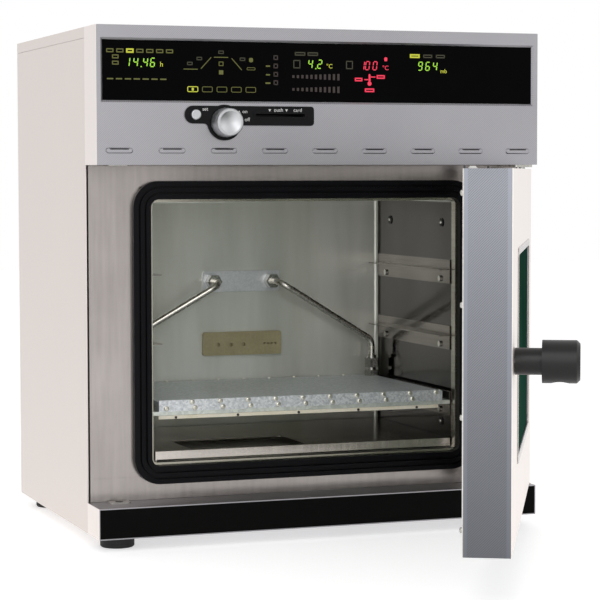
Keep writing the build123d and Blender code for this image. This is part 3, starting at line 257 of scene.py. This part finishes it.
fascia_steel = front_sheet("fascia_rolled_steel")
door_steel = door_sheet("door_rolled_steel")
panel_steel = rolled_steel("panel_rolled_steel", "#D3CAC5", "#E2DAD5", 0.40, depth=0.00001)
print("casing steels:", fascia_steel.name, door_steel.name, panel_steel.name)

# %% [markdown]
# ## Bare steel sheet
# The rails, the tray and the fittings are plain stainless: smooth, with faint lines along the
# rolling direction and soft clouds where it was wiped. Stretched noise gives the rolling lines,
# since real ones are far finer than a pixel. The frame round the mouth is a little hazy, so part
# of it is shaded as a plain surface.

# %% Bare steels


def bare_steel(name, dark, light, roughness, stretch=(3, 3, 220), depth=0.000004):
    """Plain rolled stainless sheet."""
    material, tree, shader, place = start_material(name, light, 1.0, roughness)
    drawn = add_node(tree, "ShaderNodeMapping", {"Vector": place}, Scale=stretch)
    grain = add_node(
        tree, "ShaderNodeTexNoise", {"Vector": drawn.outputs["Vector"]}, Scale=4.0, Detail=4.0
    )
    cloud = add_node(tree, "ShaderNodeTexNoise", {"Vector": place}, Scale=14.0, Detail=4.0)
    both = add_node(
        tree, "ShaderNodeMix", {"A": grain.outputs["Fac"], "B": cloud.outputs["Fac"]}, Factor=0.5
    )
    tint(tree, shader, both.outputs["Result"], dark, light)
    gloss(tree, shader, grain.outputs["Fac"], max(roughness - 0.06, 0.04), roughness + 0.08)
    relief(tree, shader, grain.outputs["Fac"], depth, 0.4)
    return material


lining_steel = bare_steel("duct_sheet_steel", "#86867F", "#A5A59D", 0.30)
collar_steel = bare_steel("collar_turned_steel", "#8E8B80", "#B3B0A4", 0.22)
frame_steel = bare_steel("frame_bright_steel", "#9F9895", "#B4ADA9", 0.20, (40, 3, 3), 0.000001)
frame_steel.node_tree.nodes["Principled BSDF"].inputs["Metallic"].default_value = 0.7
rail_steel = bare_steel("rail_folded_steel", "#5F5A55", "#7C7771", 0.14, (90, 2, 90), 0.000001)
inner_steel = bare_steel("door_lining_steel", "#BDBAB5", "#D5D2CD", 0.22, (3, 3, 60), 0.000002)
fitting_steel = bare_steel("turned_fitting_steel", "#A3A19B", "#C8C6C0", 0.22, (60, 60, 60))
pipe_steel = bare_steel("coolant_pipe_steel", "#B3B0A8", "#DAD7CE", 0.26, (40, 40, 40))
tray_steel = bare_steel("tray_sheet_steel", "#B0AAA4", "#CBC5BF", 0.18, (60, 3, 3), 0.000001)
print("bare steels made:", 8)

# %% [markdown]
# ## The vessel
# The vessel is welded from thick sheet and wiped by hand, which leaves soft upright smears. Its
# back and left walls look pale and a little hazy, while the right wall mirrors the dark side of the
# room and looks almost black. A step along X finds that wall and gives it its own gloss and share
# of metal, and a near-black painted reflection as its colour.

# %% Vessel steel
vessel_steel, tree, shader, place = start_material("vessel_polished_steel", "#D9D9D0", 1.0, 0.2)
smear = add_node(tree, "ShaderNodeMapping", {"Vector": place}, Scale=(14, 14, 2.2))
wiped = add_node(
    tree, "ShaderNodeTexNoise", {"Vector": smear.outputs["Vector"]}, Scale=1.4, Detail=3.0
)
ramp = tint(tree, shader, wiped.outputs["Fac"], "#DADAD1", "#F6F6EF", 0.35, 0.65)
across = add_node(tree, "ShaderNodeSeparateXYZ", {"Vector": place})
step = add_node(tree, "ShaderNodeMath", {0: across.outputs["X"]}, operation="GREATER_THAN")
step.inputs[1].default_value = wall_right - 0.5 * mm
right_wall = step.outputs["Value"]
# Painted reflection: the right wall gets a near-black colour for the dark room it mirrors.
tone = add_node(
    tree, "ShaderNodeMix", {"Factor": right_wall, "A": ramp.outputs["Color"]}, data_type="RGBA"
)
tone.inputs["B"].default_value = linear("#34302D")
tree.links.new(tone.outputs["Result"], shader.inputs["Base Color"])
for socket, elsewhere, there in (("Roughness", 0.24, 0.10), ("Metallic", 0.45, 1.0)):
    span = add_node(
        tree, "ShaderNodeMapRange", {"Value": right_wall}, To_Min=elsewhere, To_Max=there
    )
    tree.links.new(span.outputs["Result"], shader.inputs[socket])
print("vessel steel made")

# %% [markdown]
# ## Spangled aluminium of the shelf
# The shelf's plate and its front bar have the mottled, cold grey look of a cast or zinc-dipped
# surface. Voronoi cells a few millimetres across give the spangles, and noise softens them. The
# dial is turned from aluminium and has a plain satin face.

# %% Shelf metal


def spangled_metal(name, dark, light, roughness, cell=0.005, metallic=0.6):
    """Grey metal with crystals a few millimetres across."""
    material, tree, shader, place = start_material(name, light, metallic, roughness)
    cells = add_node(tree, "ShaderNodeTexVoronoi", {"Vector": place}, Scale=1 / cell)
    soft = add_node(tree, "ShaderNodeTexNoise", {"Vector": place}, Scale=260.0, Detail=4.0)
    tone = add_node(tree, "ShaderNodeSeparateColor", {"Color": cells.outputs["Color"]})
    both = add_node(
        tree, "ShaderNodeMix", {"A": tone.outputs["Red"], "B": soft.outputs["Fac"]}, Factor=0.6
    )
    tint(tree, shader, both.outputs["Result"], dark, light)
    gloss(tree, shader, soft.outputs["Fac"], roughness - 0.1, roughness + 0.1)
    relief(tree, shader, soft.outputs["Fac"], 0.00003, 0.4)
    return material


shelf_metal = spangled_metal("shelf_spangled_metal", "#C0C8C9", "#DDE3E4", 0.40, 0.0025, 0.35)
bar_metal = spangled_metal("bar_spangled_metal", "#C4C8CC", "#EDF0F2", 0.42, 0.002)
rivet_metal = bare_steel("rivet_bright_head", "#C4C2B6", "#E8E6DA", 0.30, (60, 60, 60))
carrier_metal = spangled_metal("carrier_pale_metal", "#C9CEC8", "#E3E8E0", 0.42)
port_metal = spangled_metal("port_plate_metal", "#D2D6D8", "#DFE2E4", 0.42, 0.002)
dial_metal = bare_steel(
    "dial_satin_aluminium", "#B2B3B5", "#C2C3C5", 0.42, (30, 30, 30), 0.000001
)
print("shelf and dial metals made:", 6)

# %% [markdown]
# ## Plastics, rubber, glass and enamel
# The dark panels and the knob are moulded plastics with a fine grain. The gasket is black
# silicone, and the display is black printed glass. Each has its usual index of refraction, and a
# little noise in colour and gloss, because no moulded surface is perfectly even. The black pieces
# have a low specular level, so that they stay dark in a white room.

# %% Moulded and enamelled finishes


def moulded(name, dark, light, roughness, grain=900.0, depth=0.00001, **sockets):
    """Moulded or sprayed surface with a fine even grain."""
    material, tree, shader, place = start_material(name, light, 0.0, roughness, **sockets)
    fine = add_node(tree, "ShaderNodeTexNoise", {"Vector": place}, Scale=grain, Detail=2.0)
    cloud = add_node(tree, "ShaderNodeTexNoise", {"Vector": place}, Scale=25.0, Detail=3.0)
    both = add_node(
        tree, "ShaderNodeMix", {"A": fine.outputs["Fac"], "B": cloud.outputs["Fac"]}, Factor=0.6
    )
    tint(tree, shader, both.outputs["Result"], dark, light)
    gloss(tree, shader, cloud.outputs["Fac"], max(roughness - 0.05, 0.02), roughness + 0.06)
    relief(tree, shader, fine.outputs["Fac"], depth, 0.4)
    return material


display_glass = moulded(
    "display_black_glass", "#020203", "#040405", 0.10, 60.0, 0.000001,
    IOR=1.5, Specular_IOR_Level=0.03,
)
panel_black = moulded(
    "plinth_black_panel", "#050404", "#090807", 0.35, IOR=1.5, Specular_IOR_Level=0.05
)
plate_black = moulded(
    "control_plate_black", "#0D0D0F", "#141416", 0.40, IOR=1.5, Specular_IOR_Level=0.12
)
knob_black = moulded(
    "knob_satin_black", "#050404", "#0B0908", 0.36, IOR=1.5, Specular_IOR_Level=0.35
)
part_black = moulded("moulded_black_nylon", "#131314", "#212123", 0.5, IOR=1.53)
bolt_white = moulded("bolt_white_acetal", "#DDDCD8", "#F0EFEB", 0.35, IOR=1.48)
resin_olive = moulded("socket_olive_resin", "#9F956F", "#B6AC86", 0.45, 300.0, IOR=1.53)
enamel_cream = moulded("cover_cream_enamel", "#F0E7CD", "#FBF6E6", 0.28, 400.0, IOR=1.5)
gasket_rubber = moulded(
    "gasket_black_silicone", "#030306", "#08080D", 0.34, 500.0, 0.00001,
    IOR=1.41, Specular_IOR_Level=0.15,
)
foot_rubber = moulded("foot_black_rubber", "#0D0D0D", "#1B1B1B", 0.7, 500.0, 0.00003, IOR=1.52)
mat_rubber = moulded("heater_red_silicone", "#8E3D26", "#AF5238", 0.6, 500.0, 0.00003, IOR=1.41)
board_green = moulded("board_green_lacquer", "#174A2D", "#24663F", 0.35, 300.0, IOR=1.55)
wool = moulded("insulation_mineral_wool", "#A99F76", "#D2C8A0", 0.95, 700.0, 0.0008, IOR=1.3)
brass = bare_steel("bush_turned_brass", "#A98748", "#C7A464", 0.28, (60, 60, 60))
tube_steel = bare_steel("drawn_line_tube", "#8F8F8F", "#B5B5B5", 0.3, (3, 3, 60))
print("moulded finishes made")

# %% [markdown]
# ## Door glass
# Both panes are thick float glass, whose iron makes it green. The inner one is clear. The outer
# one looks dark, since the dark inside of the door is behind it. Seen almost edge-on it would
# mirror the white studio, so close to that angle its mirror and its clearness fade out together.

# %% Panes


def pane(name, dark, light):
    """Float glass whose green varies a little."""
    material, tree, shader, place = start_material(name, light, 0.0, 0.02, IOR=1.52)
    streak = add_node(tree, "ShaderNodeTexNoise", {"Vector": place}, Scale=5.0, Detail=1.0)
    tint(tree, shader, streak.outputs["Fac"], dark, light)
    return material, tree, shader, streak.outputs["Fac"]


glass_green, tree, shader, streak = pane("float_glass_green", "#D6DED2", "#E2E8DE")
gloss(tree, shader, streak, 0.01, 0.03)
shader.inputs["Transmission Weight"].default_value = 0.9

window_green, tree, shader, streak = pane("window_deep_green", "#1C3B2F", "#2C5244")
shader.inputs["Roughness"].default_value = 0.03
edge_on = add_node(tree, "ShaderNodeLayerWeight", Blend=0.5)
for socket, face_on in (("Specular IOR Level", 0.5), ("Transmission Weight", 0.85)):
    fade = add_node(
        tree, "ShaderNodeMapRange", {"Value": edge_on.outputs["Facing"]},
        From_Min=0.85, From_Max=0.95, To_Min=face_on, To_Max=0.0,
    )
    tree.links.new(fade.outputs["Result"], shader.inputs[socket])
print("door glass made")

# %% [markdown]
# ## Each solid gets its finish
# A dictionary ties each solid to its finish. That is easier to read and to change than a material
# call after each piece.

# %% Dress the solids
finishes = {
    panel_steel: ["side_panel_left", "side_panel_right", "top_cover", "rear_panel"],
    fascia_steel: ["fascia", "plinth", "base_pan"],
    door_steel: ["door_shell"],
    vessel_steel: ["chamber"],
    lining_steel: ["electronics_deck", "window_duct"],
    collar_steel: ["chamber_collar"],
    frame_steel: ["front_frame", "window_frame"],
    inner_steel: ["door_inner_panel"],
    rail_steel: ["shelf_rails_left", "shelf_rails_right"],
    tray_steel: ["floor_tray"],
    fitting_steel: [
        "rail_screws", "wall_fittings", "shelf_fittings", "hinge_plates", "bolt_keepers",
        "knob_spindle", "coolant_unions", "vacuum_spigot", "air_nozzle", "power_supply",
    ],
    pipe_steel: ["coolant_pipe_left", "coolant_pipe_right"],
    shelf_metal: ["shelf_plate"],
    bar_metal: ["shelf_front_bar"],
    rivet_metal: ["shelf_rivets"],
    carrier_metal: ["shelf_carrier"],
    port_metal: ["port_plate"],
    dial_metal: ["control_dial", "dial_shaft", "set_button"],
    display_glass: ["display_window"],
    panel_black: ["plinth_panel"],
    plate_black: ["control_plate"],
    knob_black: ["knob_grip"],
    part_black: [
        "glass_clamps", "card_reader", "mains_inlet", "knob_bearing", "solenoid_valves",
    ],
    bolt_white: ["upper_bolt", "lower_bolt"],
    resin_olive: ["socket_block"],
    enamel_cream: ["shelf_bottom_cover"],
    gasket_rubber: ["door_gasket"],
    foot_rubber: ["feet"],
    mat_rubber: ["heater_mats"],
    board_green: ["circuit_boards"],
    wool: ["insulation"],
    brass: ["hinge_bushes"],
    tube_steel: ["valve_lines"],
    glass_green: ["inner_glass"],
    window_green: ["door_window"],
}
for finish, names in finishes.items():
    for name in names:
        nodes[name].data.materials.clear()
        nodes[name].data.materials.append(finish)
dressed = {name for names in finishes.values() for name in names}
print("dressed", len(dressed), "solids; left bare:", sorted(set(nodes) - dressed))

# %% [markdown]
# ## Placing new pieces
# Every new piece is shaped with Blender's own modelling operators. Before an operator runs,
# everything is deselected, because operators act on whatever is selected. When a piece is done
# its place goes into its mesh, so that its object sits at the origin like the solids do.

# %% Modelling helpers


def deselect():
    """Leave nothing selected, in object mode."""
    if bpy.context.object and bpy.context.object.mode != "OBJECT":
        bpy.ops.object.mode_set(mode="OBJECT")
    bpy.ops.object.select_all(action="DESELECT")


def settle(piece, name, finish, body="housing", on_door=False):
    """Name a piece, bake its place into its mesh, give it a finish and let it ride on a body."""
    deselect()
    piece.select_set(True)
    bpy.context.view_layer.objects.active = piece
    if on_door:
        piece.matrix_world = swing @ piece.matrix_world
    bpy.ops.object.transform_apply(location=True, rotation=True, scale=True)
    piece.name = name
    piece.data.name = name
    piece.data.materials.clear()
    piece.data.materials.append(finish)
    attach(piece, body)
    return piece


def pick(piece, wanted, kind="FACE"):
    """Select a piece's faces or edges by a test in code, and enter edit mode on them."""
    deselect()
    piece.select_set(True)
    bpy.context.view_layer.objects.active = piece
    bpy.ops.object.mode_set(mode="EDIT")
    bpy.ops.mesh.select_mode(type=kind)
    bpy.ops.mesh.select_all(action="DESELECT")
    bpy.ops.object.mode_set(mode="OBJECT")
    for part in piece.data.polygons if kind == "FACE" else piece.data.edges:
        part.select = wanted(part)
    bpy.ops.object.mode_set(mode="EDIT")


def join(pieces):
    """Join several pieces into the first."""
    deselect()
    for piece in pieces:
        piece.select_set(True)
    bpy.context.view_layer.objects.active = pieces[0]
    if len(pieces) > 1:
        bpy.ops.object.join()
    return pieces[0]


print("modelling helpers ready")

# %% [markdown]
# ## Printed marks
# The display is a dark glass with lit figures behind it, and the control plate has small white
# prints. Both are thin flat shapes just in front of their surface. Boxes and bars are flat slabs
# from a primitive whose corners are bevelled, and a box is a slab with a hole. Digits are built
# from seven bars, as on a real display, and words come from Blender's own text, turned into a
# mesh. Lit figures glow in their own colour over a dark body, because that is how a display reads
# in a bright room.

# %% Lamp and ink colours


def lit(name, colour, glow):
    """Lit segment of a display, seen through dark glass."""
    material, tree, shader, place = start_material(name, "#0A0A08", 0.0, 0.4, IOR=1.5)
    dots = add_node(tree, "ShaderNodeTexNoise", {"Vector": place}, Scale=1500.0, Detail=1.0)
    tint(tree, shader, dots.outputs["Fac"], "#080806", "#0E0E0B")
    shader.inputs["Emission Color"].default_value = linear(colour)
    shader.inputs["Emission Strength"].default_value = glow
    return material


lit_green = lit("lit_yellow_green", "#A6E838", 1.0)
lit_yellow = lit("lit_yellow", "#D2D634", 0.85)
lit_red = lit("lit_red", "#F82A50", 1.0)
lit_dim = lit("lit_dim_olive", "#6A6C18", 0.7)
lit_grey = lit("lit_faint_olive", "#3A3814", 0.6)
lit_rust = lit("lit_faint_rust", "#33221A", 0.6)
ink_white = moulded("printed_white_ink", "#D8D8D6", "#E8E8E6", 0.5, IOR=1.5)
print("lamp and ink colours ready")

# %% Flat slabs and words
mark_face = display_low.y - 0.25 * mm
mark_depth = 0.2 * mm
capital_share = 0.7  # a capital's height over the font's size
digit_height = 9.6


def slab(x, z, width, height, face=None, corner=0.3, hole=0.0):
    """Flat rounded slab facing the front, x and z in millimetres; a hole makes it a frame."""
    face = mark_face if face is None else face
    deselect()
    bpy.ops.mesh.primitive_cube_add(size=1, location=(x * mm, face + mark_depth / 2, z * mm))
    piece = bpy.context.object
    piece.scale = (width * mm, mark_depth, height * mm)
    bpy.ops.object.transform_apply(location=False, rotation=False, scale=True)
    depths = [vertex.co.y for vertex in piece.data.vertices]

    def runs_back(edge):
        start, end = (depths[number] for number in edge.vertices)
        return abs(start - end) > mark_depth / 2

    pick(piece, runs_back, "EDGE")
    bpy.ops.mesh.bevel(offset=min(corner, width * 0.45, height * 0.45) * mm, segments=3)
    bpy.ops.object.mode_set(mode="OBJECT")
    if hole > 0:
        pick(piece, lambda flat: abs(flat.normal.y) > 0.9)
        bpy.ops.mesh.inset(thickness=hole * mm)
        bpy.ops.mesh.bridge_edge_loops()
        bpy.ops.object.mode_set(mode="OBJECT")
    return piece


def word(text, x, z, height, face=None):
    """Word facing the front, its left foot at x and z in millimetres."""
    face = mark_face if face is None else face
    deselect()
    bpy.ops.object.text_add(location=(x * mm, face + mark_depth / 2, z * mm))
    piece = bpy.context.object
    piece.data.body = text
    piece.data.size = height * mm / capital_share
    piece.data.extrude = mark_depth / 2
    piece.rotation_euler = (math.radians(90), 0, 0)
    bpy.ops.object.convert(target="MESH")
    return piece


def figure(number, x, z, height):
    """Seven-bar digit that leans a little, its left foot at x and z in millimetres."""
    bars = {
        "0": "abcdef", "1": "bc", "2": "abged", "4": "fgbc", "6": "afgedc", "9": "abcdfg",
    }[number]
    wide, thick, lean = height * 0.48, height * 0.115, 0.13
    places = {
        "a": (0.5, 1.0), "g": (0.5, 0.5), "d": (0.5, 0.0), "b": (1.0, 0.75), "c": (1.0, 0.25),
        "e": (0.0, 0.25), "f": (0.0, 0.75),
    }
    made = []
    for bar in bars:
        along, up = places[bar]
        flat = bar in "agd"
        size = (wide * 0.78, thick) if flat else (thick, height * 0.42)
        middle = (x + wide * along + height * up * lean, z + height * up)
        piece = slab(*middle, *size, corner=thick * 0.4)
        piece.rotation_euler = (0, 0 if flat else math.atan(lean), 0)
        made.append(piece)
    return made


def reading(z, *digits):
    """Digits of one reading; each is a left foot and a number."""
    return [bar for x, number in digits for bar in figure(number, x, z, digit_height)]


def sloped(x, z, length, thick, angle):
    """Thin bar round its middle at x and z, turned up by an angle in degrees."""
    piece = slab(x, z, length, thick, corner=thick * 0.3)
    piece.rotation_euler = (0, math.radians(-angle), 0)
    return piece


print("marks stand", round((display_low.y - mark_face) / mm, 2), "mm ahead of the glass")

# %% [markdown]
# ## What the display shows
# From left to right: seven day boxes with one lit, the time, the profile of a run as a line, a
# temperature, a second one in red with its pump and flow marks, and the pressure. Each group of
# marks in one colour is one joined piece. Places are millimetres from the oven's middle and from
# the bench.

# %% Lit readings
day_start, day_pitch, day_row = -258.1, 11.68, 571.0
lit_day = 2
days = [
    slab(day_start + day_pitch * day, day_row, 8.4, 4.4, hole=1.1)
    for day in range(7) if day != lit_day
]
days += [slab(-251.8, level, 7.6, 4.4, hole=1.1) for level in (564.2, 557.2)]
settle(join(days), "display_day_boxes", lit_dim)
chosen = slab(day_start + day_pitch * lit_day, day_row, 8.8, 5.0, hole=1.7)
settle(chosen, "display_day_lit", lit_yellow)

green = reading(553.4, (-240.5, "1"), (-231.0, "4"), (-219.5, "4"), (-211.0, "6"))
green += [slab(-221.6, 553.2, 1.3, 1.3)]
green += reading(554.4, (-20.0, "4"), (-8.5, "2"))
green += [slab(-10.4, 554.0, 1.3, 1.3)]
green += reading(554.0, (119.0, "9"), (128.5, "6"), (138.0, "4"))
settle(join(green), "display_green_digits", lit_green)

units = [
    word("h", -199.6, 553.6, 5.6), word("°C", 2.6, 554.6, 5.0), word("mb", 147.6, 551.0, 4.8),
    slab(114.8, 570.6, 12.6, 4.6, hole=1.8),
    slab(-160.6, 528.4, 13.0, 6.6, corner=1.6, hole=0.9), slab(-160.6, 528.4, 2.4, 3.4),
]
settle(join(units), "display_units", lit_yellow)

red = reading(553.6, (45.0, "1"), (51.5, "0"), (61.0, "0"))
red += [
    word("°C", 73.2, 553.6, 5.2), slab(57.0, 543.6, 2.4, 10.0, corner=1.1),
    slab(57.0, 537.4, 5.0, 5.0, corner=2.4), slab(61.5, 545.2, 6.0, 1.2),
    slab(53.0, 542.0, 5.0, 1.2), slab(43.2, 542.0, 9.6, 4.2, hole=1.5),
    slab(71.2, 545.4, 10.4, 4.4, hole=1.5), slab(57.0, 529.6, 12.0, 4.4, hole=1.5),
    slab(77.6, 566.2, 3.8, 4.6, corner=1.4),
]
settle(join(red), "display_red_figures", lit_red)
print("lit readings made")

# %% Dim marks
curve = [
    slab(-163.0, 551.2, 17.0, 0.9), slab(-126.5, 565.2, 17.0, 0.9),
    sloped(-144.6, 558.4, 18.0, 0.9, 47), sloped(-107.6, 557.6, 18.0, 0.9, -47),
    slab(-126.5, 557.8, 5.6, 5.0, hole=0.8), slab(-126.5, 548.0, 5.2, 4.8),
]
curve += [
    slab(-143.1 + 17.5 * step, 528.4, 12.6, 6.4, corner=1.6, hole=0.7) for step in range(4)
]
curve += [
    slab(-90.2, 562.6, 4.8, 5.0, corner=1.6),
    slab(-90.2, 552.6, 10.4, 3.2, corner=1.2, hole=0.6),
    slab(-69.6, 546.0, 5.0, 1.6), slab(-69.6, 536.4, 6.0, 1.8), slab(-69.6, 556.0, 5.0, 1.6),
]
curve += [slab(-258.0 + 10.4 * step, 539.2, 7.4, 1.5) for step in range(7)]
settle(join(curve), "display_profile_lines", lit_dim)

stages = ((-164, 557.6), (-152.6, 563.4), (-126.5, 571.0), (-100.6, 563.4))
dim = [slab(x, z, 6.6, 3.8, hole=1.0) for x, z in stages]
dim += [slab(x, 570.6, 11.6, 4.0, hole=1.2) for x in (131.4, 147.8)]
dim += [slab(-30.0 + 15.8 * step, 570.8, 13.0, 4.2, hole=1.3) for step in range(2)]
dim += [slab(x, 558.8, 8.6, 9.6, hole=1.1) for x in (-34.0, 31.6)]
settle(join(dim), "display_dim_figures", lit_grey)

bars = [
    slab(-38.3 + 5.6 * step, row, 2.8, 3.0 + 0.45 * step)
    for row in (544.4, 529.6) for step in range(11)
]
bars += [slab(-60.0, 565.9 - 9.6 * step, 5.4, 5.4, hole=1.2) for step in range(4)]
settle(join(bars), "display_bar_rows", lit_rust)
print("dim marks made")

# %% [markdown]
# ## Prints on the control plate
# The plate carries a few small white words beside the button, the dial and the card slot. The
# real ones are printed, about four millimetres high. Thin meshes keep them crisp at any distance.

# %% Plate prints
plate_thickness = 2 * mm
print_face = plate_high.y - plate_thickness - mark_depth
plate_words = [
    word(text, x, z, height, print_face) for text, x, z, height in (
        ("set", -150.6, 504.0, 4.0), ("on", -102.4, 501.4, 4.2), ("off", -99.6, 492.2, 4.2),
        ("push", -63.8, 503.4, 4.2), ("card", -40.0, 503.4, 4.2),
    )
]
plate_words += [
    slab(x, z, width, height, print_face) for x, z, width, height in (
        (-106.6, 501.6, 4.8, 0.7), (-106.2, 503.0, 1.4, 2.2),
        (-102.6, 493.2, 3.0, 0.7), (-102.8, 494.6, 1.3, 2.0),
    )
]
for x in (-69.0, -48.4):
    deselect()
    bpy.ops.mesh.primitive_cylinder_add(
        vertices=3, radius=1.9 * mm, depth=mark_depth,
        location=(x * mm, print_face + mark_depth / 2, 505.2 * mm),
        rotation=(math.radians(-90), 0, 0),
    )
    pick(bpy.context.object, lambda edge: True, "EDGE")
    bpy.ops.mesh.bevel(offset=0.04 * mm, segments=1)
    bpy.ops.object.mode_set(mode="OBJECT")
    plate_words.append(bpy.context.object)
settle(join(plate_words), "control_plate_prints", ink_white)
print("plate prints made")

# %% [markdown]
# ## Inserts in the chamber's walls
# Spare fixing points in the side walls are closed by dark inserts with a bright stud in the
# middle. An insert is a short cylinder; its front face is inset and pushed in, the way a press
# would form it. Two rows stand on each wall, and the studs follow with the screws.

# %% Wall inserts


def wall_insert(x, y, z, side):
    """Round insert on a side wall: a rim round a sunk middle."""
    deselect()
    bpy.ops.mesh.primitive_cylinder_add(
        vertices=32, radius=5.5 * mm, depth=0.8 * mm,
        location=(x - side * 0.7 * mm, y, z), rotation=(0, math.radians(90), 0),
    )
    piece = bpy.context.object
    piece.scale = (0.95, 1, 1)
    pick(piece, lambda flat: flat.normal.z * side < -0.9)
    bpy.ops.mesh.inset(thickness=1.2 * mm)
    bpy.ops.mesh.extrude_region_move(TRANSFORM_OT_translate={"value": (side * 0.5 * mm, 0, 0)})
    bpy.ops.object.mode_set(mode="OBJECT")
    return piece


insert_places = ((92.0, 371.0), (258.0, 371.0), (92.0, 123.6), (258.0, 123.6))
inserts = []
for side, wall in ((-1, wall_left), (1, wall_right)):
    for depth, level in insert_places:
        inserts.append(wall_insert(wall, oven_front + depth * mm, level * mm, side))
settle(join(inserts), "wall_inserts", part_black)
print("wall inserts:", len(insert_places) * 2)

# %% [markdown]
# ## Small screws
# The shelf's bottom cover, the door's lining and the rear panel are held by small domed screws,
# and the wall inserts have studs with the same head. A domed head is a short cylinder whose top
# face is inset and raised. A slot is left out, because the heads are only three to six
# millimetres across.

# %% Screws


def screw_head(place, radius, height, on_axis):
    """Domed screw head that looks along one axis."""
    deselect()
    bpy.ops.mesh.primitive_cylinder_add(
        vertices=20, radius=radius * mm, depth=height * mm, location=place
    )
    piece = bpy.context.object
    piece.rotation_euler = Vector((0, 0, 1)).rotation_difference(Vector(on_axis)).to_euler()
    pick(piece, lambda flat: flat.normal.z > 0.9)
    bpy.ops.mesh.inset(thickness=radius * 0.35 * mm)
    bpy.ops.transform.translate(value=Vector(on_axis) * height * 0.5 * mm)
    bpy.ops.object.mode_set(mode="OBJECT")
    deselect()
    piece.select_set(True)
    bpy.ops.object.shade_smooth_by_angle(angle=math.radians(50))
    return piece


cover_screws = [
    screw_head((x * mm, cover_low.y - 0.5 * mm, cover_low.z + 1.8 * mm), 1.5, 1.0, (0, -1, 0))
    for x in (-165, -88, -11, 66, 143)
]
settle(join(cover_screws), "cover_screws", part_black)

wall_studs = [
    screw_head(
        ((wall - side * 1.2 * mm), oven_front + depth * mm, level * mm), 2.4, 1.6, (-side, 0, 0)
    )
    for side, wall in ((-1, wall_left), (1, wall_right)) for depth, level in insert_places
]
settle(join(wall_studs), "wall_insert_studs", fitting_steel)

lining = oven_front + door_thickness
edge_screws = [
    screw_head((x * mm, lining + 0.9 * mm, level * mm), 3.0, 1.8, (0, 1, 0))
    for x in (-264.5, 264.5) for level in (413, 303, 192, 80)
]
settle(join(edge_screws), "door_lining_screws", fitting_steel, "door", True)

rear_screws = [
    screw_head((x * mm, rear_high.y + 0.6 * mm, z * mm), 3.2, 1.4, (0, 1, 0))
    for x in (-264, -90, 90, 264) for z in (24, 300, 578) if abs(x) > 100 or z != 300
]
settle(join(rear_screws), "rear_panel_screws", fitting_steel)
print("screws:", len(cover_screws), "on the cover,", len(edge_screws), "on the door,", end=" ")
print(len(rear_screws), "on the rear panel")

# %% [markdown]
# ## Studio
# A pale floor and a white surround, with three large soft lamps: a key and a fill in front and
# above, and a lower one that reaches into the chamber. The surround is white to the camera, to
# reflections and through glass, while the light it gives stays lower, so pale steel keeps its tone.

# %% Floor and surround
floor_lift = 0.52     # glow that brings the floor up to white for the camera
surround_light = 0.48  # strength of the surround as a light


def seen(tree):
    """A value that is 1 for rays from the camera, from a reflection or through glass, else 0."""
    path = add_node(tree, "ShaderNodeLightPath")
    mirrored = add_node(
        tree, "ShaderNodeMath",
        {0: path.outputs["Is Camera Ray"], 1: path.outputs["Is Glossy Ray"]},
        operation="MAXIMUM",
    )
    through = add_node(
        tree, "ShaderNodeMath",
        {0: mirrored.outputs["Value"], 1: path.outputs["Is Transmission Ray"]},
        operation="MAXIMUM",
    )
    return through.outputs["Value"]


deselect()
bpy.ops.mesh.primitive_plane_add(size=14, location=(0, 0, 0))
floor = bpy.context.object
floor.name = "studio_floor"
floor_finish, tree, shader, place = start_material("studio_pale_floor", "#FFFFFF", 0.0, 0.9)
lift = add_node(tree, "ShaderNodeMath", {0: seen(tree)}, operation="MULTIPLY")
lift.inputs[1].default_value = floor_lift
shader.inputs["Emission Color"].default_value = linear("#FFFFFF")
tree.links.new(lift.outputs["Value"], shader.inputs["Emission Strength"])
floor.data.materials.append(floor_finish)

world = bpy.data.worlds.new("studio_surround")
bpy.context.scene.world = world
world.use_nodes = True
tree = world.node_tree
backdrop = tree.nodes["Background"]
level = add_node(
    tree, "ShaderNodeMapRange", {"Value": seen(tree)}, To_Min=surround_light, To_Max=1.0
)
backdrop.inputs["Color"].default_value = linear("#FFFFFF")
tree.links.new(level.outputs["Result"], backdrop.inputs["Strength"])
print("floor laid and surround set")

# %% Lamps


def soft_lamp(name, place, target, size, power):
    """Large soft lamp that looks at a point."""
    lamp = bpy.data.lights.new(name, "AREA")
    lamp.shape = "SQUARE"
    lamp.size = size
    lamp.energy = power
    holder = bpy.data.objects.new(name, lamp)
    bpy.context.collection.objects.link(holder)
    holder.location = place
    gaze = Vector(target) - Vector(place)
    holder.rotation_euler = gaze.to_track_quat("-Z", "Y").to_euler()
    return holder


soft_lamp("key_lamp", (-1.6, -2.4, 2.4), (0, 0, 0.3), 1.6, 20.5)
soft_lamp("fill_lamp", (2.4, -1.6, 1.6), (0, 0, 0.3), 1.8, 8)
soft_lamp("chamber_lamp", (-0.7, -3.0, 1.0), (0, 0.2, 0.25), 1.2, 12.5)
print("lamps set")

# %% [markdown]
# ## Camera
# A long lens about two and a half metres away, a little above the middle of the oven and turned
# towards its left side, so that the side panel, the front and the inside of the chamber all show.

# %% Camera
focal_pixels = 2159
picture_pixels = 600
camera_data = bpy.data.cameras.new("studio_camera")
camera = bpy.data.objects.new("studio_camera", camera_data)
bpy.context.collection.objects.link(camera)
camera_data.sensor_width = 36.0
camera_data.lens = focal_pixels / picture_pixels * camera_data.sensor_width
camera_data.clip_end = 50.0
camera.location = (-0.895, -2.367 + oven_front, 0.434)
camera.rotation_euler = (math.radians(90 - 3.40), math.radians(0.10), math.radians(-20.05))
bpy.context.scene.camera = camera
bpy.context.scene.view_settings.view_transform = "Standard"
print("camera at", [round(value, 3) for value in camera.location])
